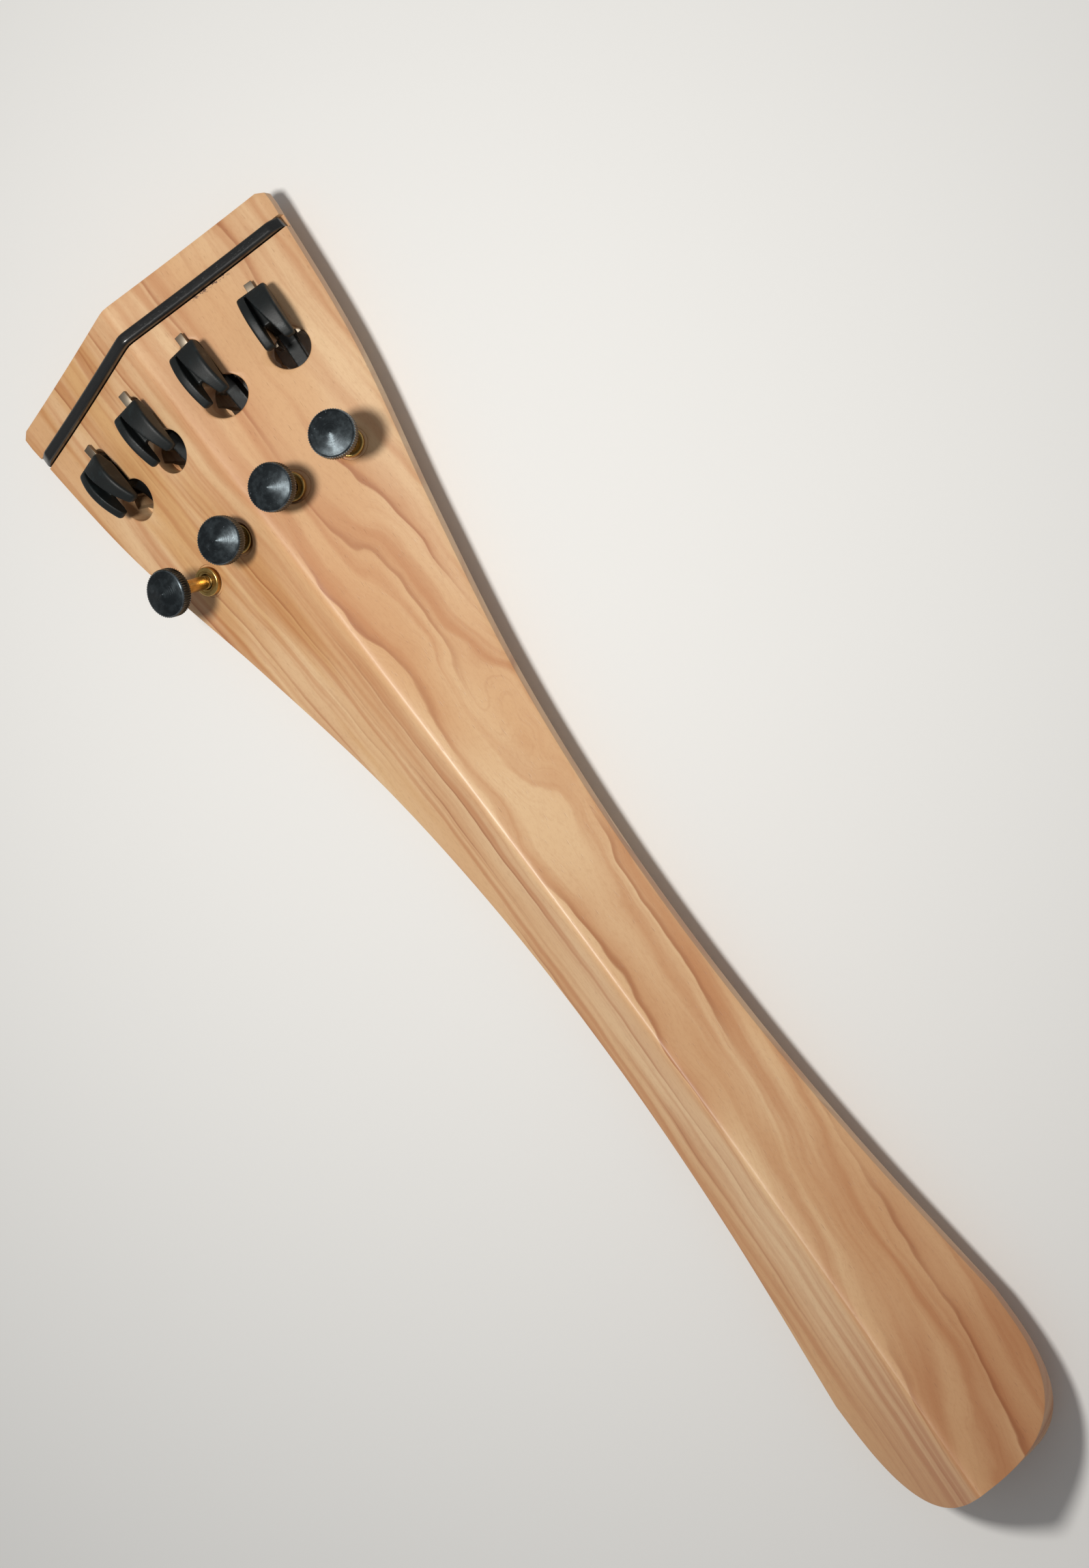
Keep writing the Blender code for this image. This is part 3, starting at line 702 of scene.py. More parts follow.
def knob_rise(number):
    """Height of the knob's underside along its screw, in millimetres in the tuner's frame."""
    knob = joint_named("knob_%s_turn" % number)
    return (tuner_place(number).inverted() @ Vector(knob["pos_m"])).z / MM


def hollow_ring(name, profile, sides, centre):
    """A solid of revolution with a hole: the closed profile is (radius, z) in millimetres."""
    count = len(profile)
    points = []
    faces = []
    for k in range(sides):
        turn = 2 * math.pi * k / sides
        points += [around(centre, radius, turn, z) for radius, z in profile]
        after = (k + 1) % sides * count
        faces += band(range(k * count, (k + 1) * count), range(after, after + count))
    return mesh_object(name, points, faces)


def surface_z(place, x, y):
    """Height of the wood's top over a point of a tuner's own frame, in millimetres."""
    z = 0.0
    for _ in range(5):
        spot = place @ (Vector((x, y, z)) * MM)
        wanted = top_height(spot.x / MM, LENGTH / 2 - spot.y / MM) + RIM_DEPTH
        z += (wanted - spot.z / MM) / place.col[2].z
    return z


def surface_cutter(name, place, outline, bottom, edge):
    """A tool that cuts an outline into the top, with a rounded edge that follows the wood."""
    count = len(outline)
    normals = []
    for i in range(count):
        run = Vector(outline[(i + 1) % count]) - Vector(outline[i - 1])
        normals.append(Vector((run.y, -run.x)).normalized())
    pairs = [(outline[i - 1], outline[i]) for i in range(count)]
    area = sum(a[0] * b[1] - b[0] * a[1] for a, b in pairs)
    outward = 1.0 if area > 0 else -1.0
    steps = [(0.0, None)]
    for turn in EDGE_TURNS:
        steps.append((edge * (1 - math.cos(turn)), edge * (math.sin(turn) - 1)))
    flare = (edge * math.sin(turn), edge * math.cos(turn))
    steps.append((steps[-1][0] + flare[0], steps[-1][1] + flare[1]))
    steps.append((steps[-1][0], None))
    sections = []
    for offset, height in steps:
        end = CUTTER_TOP if offset else bottom
        section = []
        for (x, y), normal in zip(outline, normals):
            spot = (x + normal.x * offset * outward, y + normal.y * offset * outward)
            z = end if height is None else surface_z(place, *spot) + height
            section.append(Vector((*spot, z)) * MM)
        sections.append(section)
    return swept(name, sections, place)


def axle_bore(gap, steps):
    """A tool that cuts the hole for a lever's axle."""
    outline = circle(AXLE[1:], AXLE_RADIUS + gap, steps)
    return prism("cut_axle", outline, (-AXLE_CUT_HALF, AXLE_CUT_HALF), axis="x")


def fret_section(x, section):
    """A section across the fret's groove, set on the gabled top."""
    base = top_height(x, FRET_FROM_HEAD)
    return [wood_point(x, FRET_FROM_HEAD - y, base + z) for y, z in section]


def keyhole_outline():
    """A round hole for the string's ball end with a slot towards the head."""
    meeting = math.asin(SLOT_HALF / KEYHOLE_RADIUS)
    arc = [math.pi / 2 - meeting - (2 * math.pi - 2 * meeting) * k / 56 for k in range(57)]
    outline = [(KEYHOLE_RADIUS * math.cos(a), KEYHOLE_RADIUS * math.sin(a)) for a in arc]
    for k in range(13):
        a = math.pi - math.pi * k / 12
        outline.append((SLOT_HALF * math.cos(a), KEYHOLE_FRONT - SLOT_HALF * (1 - math.sin(a))))
    return outline


def keep(piece, name, values):
    """Keeps a vector for each point of a piece under a name."""
    data = piece.data.attributes.new(name, "FLOAT_VECTOR", "POINT").data
    for item, value in zip(data, values):
        item.vector = value


def settled(piece, place):
    """Keeps each point's own place, then moves the mesh to its real place."""
    keep(piece, "own_place", [vertex.co.copy() for vertex in piece.data.vertices])
    piece.data.transform(place)


def on_screw(number):
    """The place of a tuner's screw and knob: z is 0 at the knob's underside."""
    return tuner_place(number) @ Matrix.Translation(Vector((0, SCREW_Y, knob_rise(number))) * MM)


# ---- geometry trees
class Geometry(Tree):
    """A geometry tree with named inputs, which ends in Realize Instances and Set Material."""

    def __init__(self, name, **inputs):
        group = bpy.data.node_groups.new(name, "GeometryNodeTree")
        sockets = [("OUTPUT", "Geometry", "Geometry"), ("INPUT", "Geometry", "Geometry")]
        sockets += [("INPUT", label, kind) for label, kind in inputs.items()]
        for way, label, kind in sockets + [("INPUT", "Material", "Material")]:
            group.interface.new_socket(label, in_out=way, socket_type="NodeSocket" + kind)
        super().__init__(group)
        self.start = self.node("NodeGroupInput")

    def given(self, label):
        return self.start.out(label)

    def close(self, geometry):
        whole = self.node("GeometryNodeRealizeInstances", {}, {0: geometry}).out(0)
        values = {0: whole, "Material": self.given("Material")}
        painted = self.node("GeometryNodeSetMaterial", {}, values).out(0)
        self.node("NodeGroupOutput", {}, {0: painted})
        return self

    def raised(self, geometry, height):
        values = {0: geometry, "Offset": self.vector(0.0, 0.0, height)}
        return self.node("GeometryNodeSetPosition", {}, values).out(0)

    def on_points(self, points, pattern, turn):
        values = {"Points": points, "Instance": pattern, "Rotation": turn}
        return self.node("GeometryNodeInstanceOnPoints", {}, values).out(0)

    def join(self, *parts):
        made = self.tree.nodes.new("GeometryNodeJoinGeometry")
        for part in parts:
            self.tree.links.new(part.socket, made.inputs[0])
        return Wire(self, made.outputs[0])

    def apply(self, target, **values):
        step = target.modifiers.new(self.tree.name, "NODES")
        step.node_group = self.tree
        for item in self.tree.interface.items_tree:
            if item.in_out == "INPUT" and item.name in values:
                step[item.identifier] = values[item.name]
        bake(target)


def knurl_tree():
    """Straight ridges in a ring round a knob's rim."""
    tree = Geometry("knurls", Count="Int", Radius="Float", Width="Float", Low="Float",
                    High="Float")
    count, low, high, width = (tree.given(name) for name in ("Count", "Low", "High", "Width"))
    values = {"Vertices": count, "Radius": tree.given("Radius")}
    circle = tree.node("GeometryNodeMeshCircle", {"fill_type": "NONE"}, values).out(0)
    raised = tree.raised(circle, (low + high) * 0.5)
    size = tree.vector(width, width, high - low)
    ridge = tree.node("GeometryNodeMeshCube", {}, {"Size": size}).out(0)
    index = tree.node("GeometryNodeInputIndex").out(0)
    turn = tree.vector(0.0, 0.0, index * math.tau / count + math.pi / 4)
    return tree.close(tree.join(tree.given("Geometry"), tree.on_points(raised, ridge, turn)))


def thread_tree():
    """A raised helical thread along a screw."""
    tree = Geometry("thread", Turns="Float", Length="Float", Radius="Float", Ridge="Float",
                    Start="Float")
    radius = tree.given("Radius")
    values = {"Resolution": 40, "Rotations": tree.given("Turns"), "Start Radius": radius,
              "End Radius": radius, "Height": tree.given("Length")}
    helix = tree.node("GeometryNodeCurveSpiral", {}, values).out(0)
    raised = tree.raised(helix, tree.given("Start"))
    section = tree.node("GeometryNodeCurvePrimitiveCircle", {"mode": "RADIUS"},
                        {"Resolution": 6, "Radius": tree.given("Ridge")}).out(0)
    values = {"Curve": raised, "Profile Curve": section, "Fill Caps": True}
    solid = tree.node("GeometryNodeCurveToMesh", {}, values).out(0)
    return tree.close(tree.join(tree.given("Geometry"), solid))


def repeat_tree():
    """One pattern piece on each tuner, turned as the tuner is."""
    tree = Geometry("repeat_on_tuners", Pattern="Object")
    pattern = tree.node("GeometryNodeObjectInfo", {"transform_space": "ORIGINAL"},
                        {"Object": tree.given("Pattern")}).out("Geometry")
    turn = tree.node("GeometryNodeInputNamedAttribute", {"data_type": "FLOAT_VECTOR"},
                     {"Name": "tuner_turn"}).out(0)
    return tree.close(tree.on_points(tree.given("Geometry"), pattern, turn))


def repeated(name, pattern, material, slot, node, sharp):
    """Sets a pattern, made in a tuner's frame, on all tuners as one piece of the root body."""
    places = [tuner_place(number) for number in TUNER_NAMES]
    keep(pattern, "own_place", [vertex.co.copy() for vertex in pattern.data.vertices])
    piece = mesh_object(name, [place.translation for place in places], [])
    keep(piece, "tuner_turn", [place.to_euler() for place in places])
    repeat_tree().apply(piece, Pattern=pattern, Material=material)
    bpy.data.objects.remove(pattern, do_unlink=True)
    nodes = [node + "_" + number for number in TUNER_NAMES]
    return finished(piece, material, "tailpiece", slot, *nodes, sharp=sharp)


# ---- settings
def colour_setting(name, description, default):
    return FloatVectorProperty(name=name, description=description, default=linear(*default),
                               subtype="COLOR", size=3, min=0.0, max=1.0)


def length_setting(name, description, default_mm):
    return FloatProperty(name=name, description=description, default=default_mm * MM,
                         unit="LENGTH", min=0.0, precision=5)


class WoodSettings(bpy.types.PropertyGroup):
    """Sizes and colours of the carved wood and its fret."""

    rows: IntProperty(name="Rows", description="Rows of faces along the straight part",
                      default=150, min=40, max=300)
    columns: IntProperty(name="Columns", description="Faces from the ridge to each edge",
                         default=22, min=6, max=60)
    edge: length_setting("Edge rounding", "Radius on the long edges of the wood", 0.45)
    hole_edge: length_setting("Hole rounding", "Radius round the keyholes", 0.28)
    pale_colour: colour_setting("Pale wood", "Palest ground between the streaks", (219, 184, 142))
    ground_colour: colour_setting("Wood ground", "Warm ground colour", (207, 163, 118))
    streak_colour: colour_setting("Streaks", "Broad reddish-brown streaks", (182, 122, 78))
    line_colour: colour_setting("Lines", "Thin dark edges of the streaks", (150, 90, 54))
    fret_colour: colour_setting("Fret", "Polished ebony", (17, 18, 18))


class TunerSettings(bpy.types.PropertyGroup):
    """Sizes and colours of the fine tuners."""

    knurls: IntProperty(name="Knurls", description="Straight ridges round a knob", default=60,
                        min=12, max=120)
    knurl_width: length_setting("Knurl width", "Width of one ridge", 0.25)
    voxel: length_setting("Moulding detail", "Smallest detail of the moulded levers", 0.16)
    thread_pitch: length_setting("Thread pitch", "Travel of a screw in one turn", 0.5)
    lever_colour: colour_setting("Lever", "Moulded fibre composite", (17, 21, 21))
    # The second lever colour is a painted sheen, laid on in patches.
    lever_painted_sheen_colour: colour_setting("Rubbed lever", "Composite rubbed by use", (34, 44, 46))
    knob_colour: colour_setting("Knob", "Blackened metal", (38, 43, 46))
    # The knob's second colour is a painted sheen, in patches and on the rim's top edge.
    knob_painted_sheen_colour: colour_setting("Knob sheen", "Blackened metal rubbed by use", (86, 95, 99))
    brass_colour: colour_setting("Brass", "Turned brass", (208, 172, 104))
    brass_tarnish_colour: colour_setting("Brass tarnish", "Tarnished brass", (104, 84, 48))
    steel_colour: colour_setting("Steel", "Dull nickelled steel", (138, 127, 112))


class StageSettings(bpy.types.PropertyGroup):
    """Floor, camera and light."""

    floor_colour: colour_setting("Floor", "Plain pale floor", (226, 226, 224))
    key_power: FloatProperty(name="Key light", description="Power of the light above the head",
                             default=0.97, min=0.0, unit="POWER")
    key_size: length_setting("Key size", "Diameter of the light above the head", 55.0)
    sky: FloatProperty(name="Sky", description="Strength of the even light all round",
                       default=0.27, min=0.0)
    lens: FloatProperty(name="Lens", description="Focal length of the camera in millimetres",
                        default=71.89, min=10.0)


# ---- operators
class Making:
    """What the operators share."""

    bl_options = {"REGISTER"}

    @property
    def wood(self):
        return bpy.context.scene.tailpiece_wood

    @property
    def tuners(self):
        return bpy.context.scene.tailpiece_tuners


class TAILPIECE_OT_stage(Making, bpy.types.Operator):
    """Make the floor, the camera and the lights"""

    bl_idname = "tailpiece.stage"
    bl_label = "Stage"

    def execute(self, context):
        settings = context.scene.tailpiece_stage
        corners = [(-1, -1, 0), (1, -1, 0), (1, 1, 0), (-1, 1, 0)]
        spots = [Vector(corner) * FLOOR_HALF * MM for corner in corners]
        floor = mesh_object("floor", spots, [(0, 1, 2, 3)])
        floor.data.materials.append(floor_finish(settings))
        lens = bpy.data.cameras.new("camera")
        lens.lens = settings.lens
        lens.clip_start = 0.01
        camera = link("camera", lens)
        right = Vector(CAMERA_RIGHT).normalized()
        forward = Vector(CAMERA_FORWARD).normalized()
        up = right.cross(forward).normalized()
        turn = Matrix((right, up, -forward)).transposed().to_4x4()
        camera.matrix_world = Matrix.Translation(Vector(CAMERA_PLACE) * MM) @ turn
        context.scene.camera = camera
        self.light(settings)
        return {"FINISHED"}

    def light(self, settings):
        lamp = bpy.data.lights.new("key", "AREA")
        lamp.shape = "DISK"
        lamp.size = settings.key_size
        lamp.energy = settings.key_power
        lamp.color = KEY_COLOUR
        key = link("key", lamp)
        key.location = Vector(KEY_PLACE) * MM
        world = bpy.context.scene.world or bpy.data.worlds.new("sky")
        bpy.context.scene.world = world
        world.use_nodes = True
        sky = world.node_tree.nodes["Background"]
        sky.inputs["Color"].default_value = SKY_COLOUR
        sky.inputs["Strength"].default_value = settings.sky
        bpy.context.scene.view_settings.view_transform = "Standard"


class TAILPIECE_OT_wood(Making, bpy.types.Operator):
    """Make the carved olive wood with its keyholes, pockets and hollows"""

    bl_idname = "tailpiece.wood"
    bl_label = "Olive wood"

    def execute(self, context):
        piece = self.carved()
        bevelled(piece, self.wood.edge / MM, 3, 30.0)
        cut(piece, self.fret_groove(), *self.hollows())
        for number in TUNER_NAMES:
            cut(piece, *self.tuner_cuts(number))
        finished(piece, olive_wood_finish(self.wood), "tailpiece", "olive_wood",
                 "tailpiece_body", sharp=28.0)
        return {"FINISHED"}

    def carved(self):
        """The gabled top, the upright side band, the undercut sides and the flat underside."""
        rows = self.wood.rows
        shares = [(k / rows) ** ROW_CROWDING for k in range(rows + 1)]
        shares += [1 + k / TAIL_ROWS for k in range(1, TAIL_ROWS + 1)]
        half = self.wood.columns
        across = [math.copysign(abs(k / half) ** COLUMN_CROWDING, k)
                  for k in range(-half, half + 1)]
        columns = len(across)
        points = []
        for share in shares:
            width, from_head = outline_row(share, 0.0)
            points += [wood_point(u * width, from_head, top_height(u * width, from_head))
                       for u in across]
        last = len(shares) - 1
        faces = []
        for row in range(last):
            for c in range(columns - 1):
                a = row * columns + c
                faces.append((a, a + 1, a + 1 + columns, a + columns))
        loop = [(row, 0) for row in range(last + 1)] + [(last, c) for c in range(1, columns)]
        loop += [(row, columns - 1) for row in range(last - 1, -1, -1)]
        loop += [(0, c) for c in range(columns - 2, 0, -1)]
        above = [row * columns + c for row, c in loop]
        for inset, height in ((0.0, -SIDE_BAND), (UNDERCUT, -RIM_DEPTH)):
            below = range(len(points), len(points) + len(loop))
            for row, c in loop:
                width, from_head = outline_row(shares[row], inset)
                points.append(wood_point(across[c] * width, from_head, height))
            faces += band(above, below)
            above = below
        faces.append(tuple(above))
        return mesh_object("olive_wood_body", points, faces)

    def fret_groove(self):
        half = FRET_WIDTH / 2 + FIT_GAP
        low = -FRET_SEAT - FIT_GAP
        section = ((-half, low), (-half, FRET_GROOVE_TOP), (half, FRET_GROOVE_TOP), (half, low))
        places = [k * GROOVE_STEP for k in range(-GROOVE_STEPS, GROOVE_STEPS + 1)]
        return swept("cut_groove", [fret_section(x, section) for x in places])

    def hollows(self):
        """The lightening hollow, the tail cord's recess and its two holes."""
        places = [HOLLOW_START + (HOLLOW_END - HOLLOW_START) * k / 40 for k in range(41)]
        side = [(width_at(s) - UNDERCUT - HOLLOW_WALL, LENGTH / 2 - s) for s in places]
        ends = (BELOW_WOOD, RIM_DEPTH + HOLLOW_CEILING)
        tools = [prism("cut_hollow", mirrored(side), ends)]
        front = LENGTH / 2 - CORD_RECESS_START
        back = LENGTH / 2 - CORD_RECESS_END
        wide = CORD_RECESS_HALF
        box = [(-wide, back), (wide, back), (wide, front), (-wide, front)]
        ends = (BELOW_WOOD, RIM_DEPTH + CORD_RECESS_CEILING)
        tools.append(prism("cut_recess", box, ends))
        for side, x in (("left", -CORD_HOLE_X), ("right", CORD_HOLE_X)):
            place = Matrix.Translation(Vector((x, back, RIM_DEPTH + CORD_HOLE_HEIGHT)) * MM)
            place = place @ Matrix.Rotation(math.radians(90), 4, "X")
            profile = rod(CORD_HOLE_RADIUS, *CORD_HOLE_ENDS)
            tools.append(turned("cut_cord_" + side, profile, 40, place))
        return tools

    def tuner_cuts(self, number):
        place = tuner_place(number)
        keyhole = surface_cutter("cut_keyhole_" + number, place, keyhole_outline(),
                                 KEYHOLE_CUT_BOTTOM, self.wood.hole_edge / MM)
        pocket = prism("cut_pocket_" + number, mirrored(POCKET_SIDE),
                       (POCKET_BOTTOM, POCKET_CEILING), place)
        face = circle((0, SCREW_Y), FLANGE_RADIUS + 2 * FIT_GAP, 45)
        spot = surface_cutter("cut_spot_" + number, place, face, FLANGE_SEAT_Z - FIT_GAP, FINE_EDGE)
        bore = rod(BUSH_RADIUS + FIT_GAP, *BUSH_BORE_ENDS)
        hole = turned("cut_bush_" + number, bore, 36, place, (0, SCREW_Y))
        pilot = turned("cut_pilot_" + number, PILOT_SIDE, 16, place, (0, BRACKET_SCREW_Y))
        return keyhole, pocket, spot, hole, pilot


class TAILPIECE_OT_fret(Making, bpy.types.Operator):
    """Make the ebony fret that the strings pass over"""

    bl_idname = "tailpiece.fret"
    bl_label = "Fret"

    def execute(self, context):
        piece = swept("ebony_fret", [fret_section(x, self.outline(x)) for x in
                                     (FRET_HALF_LENGTH * math.sin(math.radians(a))
                                      for a in range(-90, 91))])
        bevelled(piece, FINE_EDGE, 2, 50.0)
        finished(piece, fret_finish(self.wood), "tailpiece", "fret_black", "fret", sharp=50.0)
        return {"FINISHED"}

    def outline(self, x):
        """The fret's rounded section, lower near its ends."""
        half = FRET_WIDTH / 2
        end = max(0.0, abs(x) - (FRET_HALF_LENGTH - FRET_END_SLOPE)) / FRET_END_SLOPE
        top = FRET_PROUD - (FRET_PROUD - FRET_END_PROUD) * end ** 1.6
        rounding = min(FRET_ROUNDING, top + 0.2)
        section = [(-half, -FRET_SEAT), (-half, top - rounding)]
        section += round_arc((-half + rounding, top - rounding), rounding, 180, 90, 6)
        section += round_arc((half - rounding, top - rounding), rounding, 90, 0, 6)
        return section + [(half, -FRET_SEAT)]


class TAILPIECE_OT_levers(Making, bpy.types.Operator):
    """Make the four forked string levers"""

    bl_idname = "tailpiece.levers"
    bl_label = "Levers"

    def execute(self, context):
        material = lever_finish(self.tuners)
        for number in TUNER_NAMES:
            piece = self.moulded(number)
            lean = Matrix.Rotation(math.radians(-LEANS[number]), 4, "X")
            axle = Matrix.Translation(Vector(AXLE) * MM)
            settled(piece, tuner_place(number) @ axle @ lean @ axle.inverted())
            finished(piece, material, "lever_" + number, "lever_composite", "lever_" + number,
                     sharp=70.0)
        return {"FINISHED"}

    def moulded(self, number):
        """Head with two prongs, neck, hub and arm as one blended form in the tuner's frame."""
        along = [HEAD_FRONT_Y + (HEAD_BACK_Y - HEAD_FRONT_Y) * k / 24 for k in range(25)]
        head = [(y, HEAD_TOP_Z - HEAD_CURVE * (y - HEAD_TOP_Y) ** 2) for y in along]
        lever = prism("moulded_lever_" + number, head + list(HEAD_FOOT), (-HEAD_HALF, HEAD_HALF),
                      axis="x")
        bevelled(lever, HEAD_ROUNDING, 3, 35.0)
        hub = round_arc(AXLE[1:], HUB_RADIUS, 300, 390, 6)
        arm = [*ARM_BACK, *ARM_PAD, *hub, *ARM_FRONT]
        cut(lever, prism("join_arm", arm, (-ARM_HALF, ARM_HALF), axis="x"), operation="UNION")
        cut(lever, prism("cut_slit", STRING_SLIT, STRING_SLIT_ENDS))
        cut(lever, prism("cut_ball_room", BALL_ROOM, BALL_ROOM_ENDS))
        remesh = lever.modifiers.new("blend", "REMESH")
        remesh.mode = "VOXEL"
        remesh.voxel_size = self.tuners.voxel
        soften = lever.modifiers.new("soften", "SMOOTH")
        soften.factor = 0.5
        soften.iterations = 5
        bake(lever)
        cut(lever, axle_bore(FIT_GAP, 30))
        return lever


class TAILPIECE_OT_knobs(Making, bpy.types.Operator):
    """Make the four turned and knurled knobs"""

    bl_idname = "tailpiece.knobs"
    bl_label = "Knobs"

    def execute(self, context):
        material = knob_finish(self.tuners)
        knurl = knurl_tree()
        for number in TUNER_NAMES:
            piece = turned("knurled_knob_" + number, self.profile(), 96)
            knurl.apply(piece, Count=self.tuners.knurls, Radius=(KNOB_RADIUS - 0.18) * MM,
                        Width=self.tuners.knurl_width, Low=0.28 * MM,
                        High=(KNOB_RIM - 0.22) * MM, Material=material)
            settled(piece, on_screw(number))
            finished(piece, material, "knob_" + number, "knob_black", "tuning_knob_" + number,
                     sharp=35.0)
        return {"FINISHED"}

    def profile(self):
        """Up the screw's socket, out over the underside, up the rim and in over the cone."""
        socket = SHANK_RADIUS + 0.1
        ceiling = SHANK_IN_KNOB + 0.1
        rim = KNOB_RADIUS - KNOB_EDGE
        top = KNOB_RIM - 0.15
        points = [(0, ceiling), (socket, ceiling), (socket, 0.08), (socket + 0.1, 0.0)]
        points += [(rim - 0.5, 0.0), (rim - 0.3, 0.03), (rim - 0.1, 0.14), (rim, 0.3)]
        points += [(rim, top - 0.1), (rim - 0.03, top), (rim - 0.1, top + 0.1)]
        for share in (k / 18 for k in range(18)):
            points.append(((rim - 0.22) * (1 - share), top + 0.17 + (KNOB_CONE - 0.06) * share))
        tip = KNOB_RIM + KNOB_CONE
        return points + [(0.06, tip - 0.012), (0, tip)]


class TAILPIECE_OT_screws(Making, bpy.types.Operator):
    """Make the four brass adjusting screws"""

    bl_idname = "tailpiece.screws"
    bl_label = "Adjusting screws"

    def execute(self, context):
        material = brass_finish(self.tuners)
        thread = thread_tree()
        low = THREAD_ABOVE_TIP - SHANK_BELOW_KNOB
        for number in TUNER_NAMES:
            piece = turned("brass_screw_" + number, self.profile(low), 64)
            thread.apply(piece, Turns=THREAD_LENGTH * MM / self.tuners.thread_pitch,
                         Length=THREAD_LENGTH * MM, Radius=(SHANK_RADIUS - THREAD_RIDGE) * MM,
                         Ridge=THREAD_RIDGE * MM, Start=low * MM, Material=material)
            settled(piece, on_screw(number))
            finished(piece, material, "screw_" + number, "brass", "tuning_screw_" + number,
                     sharp=50.0)
        return {"FINISHED"}

    def profile(self, low):
        root = SHANK_RADIUS - 0.16
        high = low + THREAD_LENGTH
        tip = round_arc((0, SHANK_RADIUS - SHANK_BELOW_KNOB), SHANK_RADIUS - 0.02, -88, -12, 10)
        points = [(0, 0.02 - SHANK_BELOW_KNOB)] + tip + [(root, low), (root, high)]
        points += [(SHANK_RADIUS, high + 0.2), (SHANK_RADIUS, 1.2), (1.05, SHANK_IN_KNOB)]
        return points + [(0, SHANK_IN_KNOB)]


class TAILPIECE_OT_bushes(Making, bpy.types.Operator):
    """Make the four flanged bushes that the screws turn in"""

    bl_idname = "tailpiece.bushes"
    bl_label = "Screw bushes"

    def execute(self, context):
        low = POCKET_CEILING + 0.3
        top = FLANGE_SEAT_Z + FLANGE_THICKNESS
        rim = FLANGE_RADIUS
        bore = SHANK_RADIUS + FINE_EDGE
        outer = [(BUSH_RADIUS - 0.15, low), (BUSH_RADIUS, low + 0.15), (BUSH_RADIUS, FLANGE_SEAT_Z)]
        outer += [(rim - 0.1, FLANGE_SEAT_Z), (rim, FLANGE_SEAT_Z + 0.1), (rim, top - 0.3)]
        outer += round_arc((rim - 0.28, top - 0.28), 0.28, 0, 90, 5)
        face = [(rim - 0.62, top), (rim - 0.68, top - 0.1)]
        face += [(rim - 0.8, top - 0.1), (rim - 0.86, top)]
        inner = [(bore + FINE_EDGE, top), (bore, top - FINE_EDGE)]
        inner += [(bore, low + FINE_EDGE), (bore + FINE_EDGE, low)]
        pattern = hollow_ring("bush_pattern", outer + face + inner, 72, (0, SCREW_Y))
        repeated("brass_bushes", pattern, brass_finish(self.tuners), "brass", "screw_bush", 40.0)
        return {"FINISHED"}


class TAILPIECE_OT_brackets(Making, bpy.types.Operator):
    """Make the four folded brackets that carry the axles"""

    bl_idname = "tailpiece.brackets"
    bl_label = "Brackets"

    def execute(self, context):
        bracket = prism("bracket_pattern", mirrored(PLATE_SIDE), PLATE_ENDS)
        for ends in CHEEK_ENDS:
            cut(bracket, prism("join_cheek", CHEEK, ends, axis="x"), operation="UNION")
        bend = round_arc(TAB_BEND, TAB_BEND_RADIUS, 180, 90, 5)
        tab = [*TAB_BACK, *reversed(bend[:-1]), TAB_FOOT]
        cut(bracket, prism("join_tab", tab, (-TAB_HALF, TAB_HALF), axis="x"), operation="UNION")
        bevelled(bracket, FINE_EDGE, 3, 30.0)
        cut(bracket, axle_bore(0.08, 36))
        cut(bracket, turned("cut_foot", FOOT_HOLE, 32, None, (0, BRACKET_SCREW_Y)))
        repeated("steel_brackets", bracket, steel_finish(self.tuners), "steel", "tuner_bracket",
                 35.0)
        return {"FINISHED"}


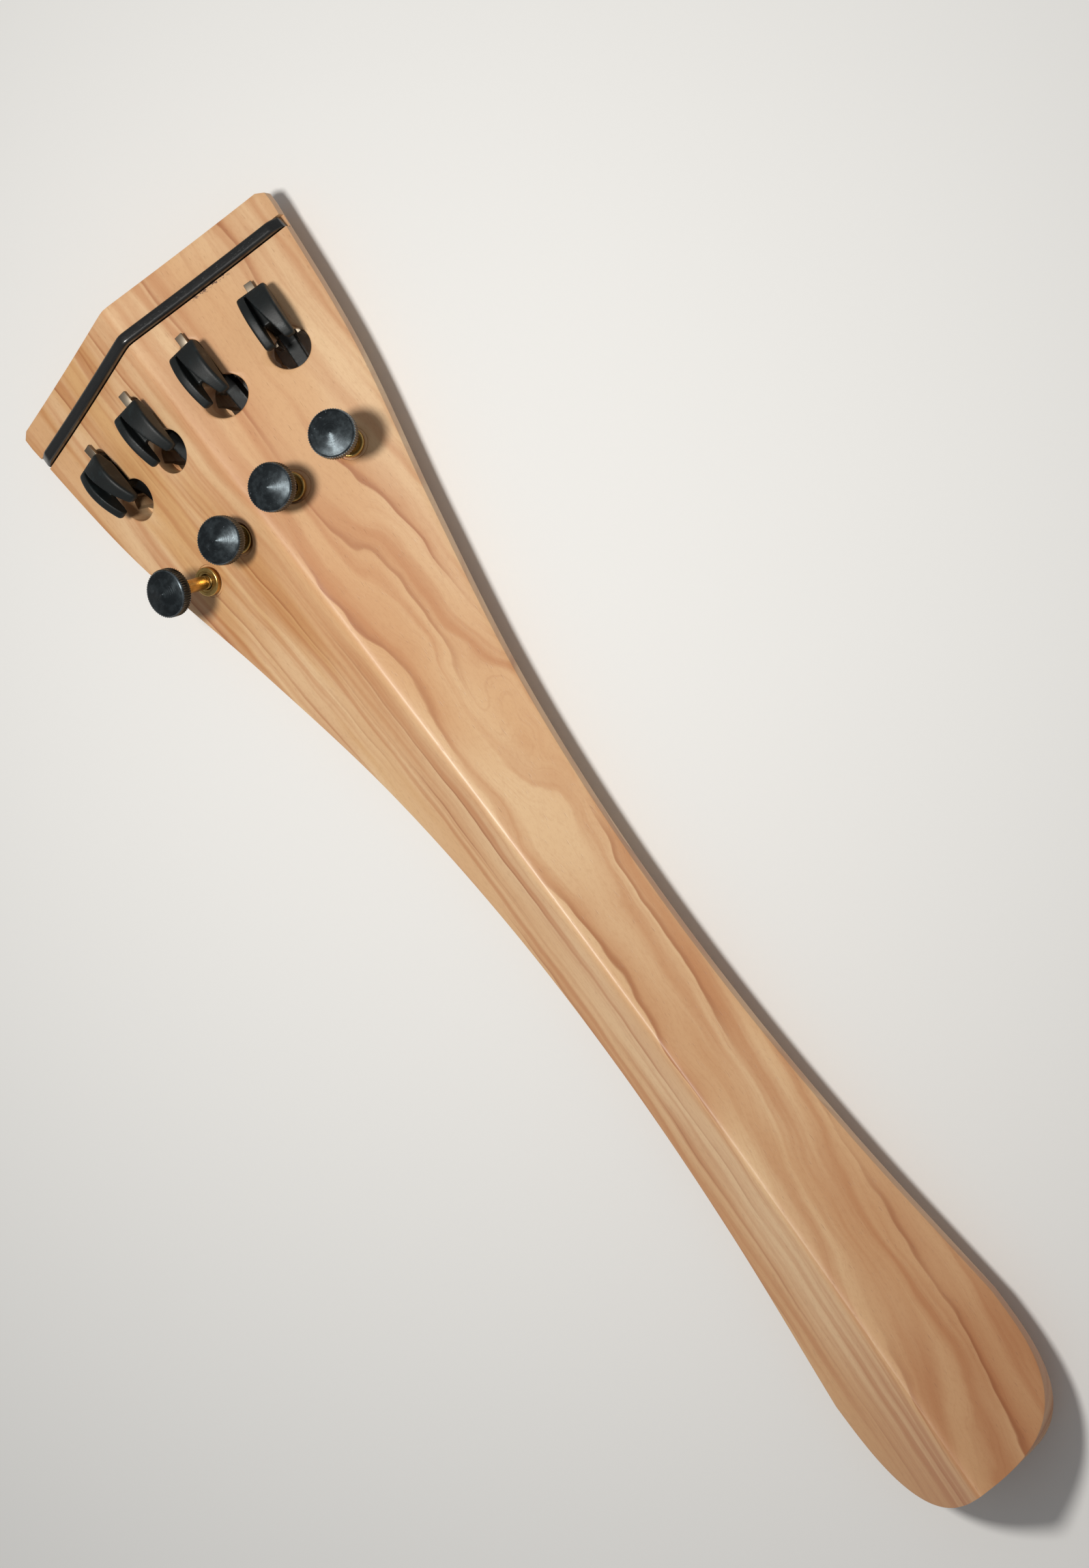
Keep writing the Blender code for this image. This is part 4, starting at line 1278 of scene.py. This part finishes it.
class TAILPIECE_OT_pins(Making, bpy.types.Operator):
    """Make the four axle pins and the four slotted screws that hold the brackets"""

    bl_idname = "tailpiece.pins"
    bl_label = "Axles and bracket screws"

    def execute(self, context):
        material = steel_finish(self.tuners)
        end = AXLE_RADIUS - FINE_EDGE
        pin = [(0, -PIN_HALF), (end, -PIN_HALF), (AXLE_RADIUS, FINE_EDGE - PIN_HALF)]
        pin += [(AXLE_RADIUS, PIN_HALF - FINE_EDGE), (end, PIN_HALF), (0, PIN_HALF)]
        lie = Matrix.Translation(Vector(AXLE) * MM) @ Matrix.Rotation(math.radians(90), 4, "Y")
        axle = turned("axle_pattern", pin, 40, lie)
        repeated("axle_pins", axle, material, "steel", "lever_axle", 40.0)
        screw = turned("screw_pattern", SCREW_HEAD + SCREW_POINT, 48, None, (0, BRACKET_SCREW_Y))
        slot = [(x, BRACKET_SCREW_Y + y) for x, y in SCREW_SLOT]
        cut(screw, prism("cut_slot", slot, SCREW_SLOT_ENDS))
        repeated("bracket_screws", screw, material, "steel", "bracket_screw", 35.0)
        return {"FINISHED"}


class TAILPIECE_PT_panel(bpy.types.Panel):
    """Lists the tailpiece's pieces in the sidebar"""

    bl_idname = "TAILPIECE_PT_panel"
    bl_label = "Tailpiece"
    bl_space_type = "VIEW_3D"
    bl_region_type = "UI"
    bl_category = "Tailpiece"

    def draw(self, context):
        for group in SETTINGS:
            settings = getattr(context.scene, group)
            for name in settings.bl_rna.properties.keys():
                if name not in ("rna_type", "name"):
                    self.layout.prop(settings, name)
        for operator in OPERATORS:
            self.layout.operator(operator.bl_idname)


OPERATORS = (TAILPIECE_OT_stage, TAILPIECE_OT_wood, TAILPIECE_OT_fret, TAILPIECE_OT_levers,
             TAILPIECE_OT_knobs, TAILPIECE_OT_screws, TAILPIECE_OT_bushes,
             TAILPIECE_OT_brackets, TAILPIECE_OT_pins)
SETTINGS = {"tailpiece_wood": WoodSettings, "tailpiece_tuners": TunerSettings,
            "tailpiece_stage": StageSettings}


def register():
    for group in SETTINGS.values():
        bpy.utils.register_class(group)
    for name, group in SETTINGS.items():
        setattr(bpy.types.Scene, name, PointerProperty(type=group))
    for operator in OPERATORS:
        bpy.utils.register_class(operator)
    bpy.utils.register_class(TAILPIECE_PT_panel)


def unregister():
    bpy.utils.unregister_class(TAILPIECE_PT_panel)
    for operator in reversed(OPERATORS):
        bpy.utils.unregister_class(operator)
    for name in SETTINGS:
        delattr(bpy.types.Scene, name)
    for group in reversed(list(SETTINGS.values())):
        bpy.utils.unregister_class(group)


def main():
    register()
    for operator in OPERATORS:
        group, name = operator.bl_idname.split(".")
        getattr(getattr(bpy.ops, group), name)()


if __name__ == "__main__":
    main()
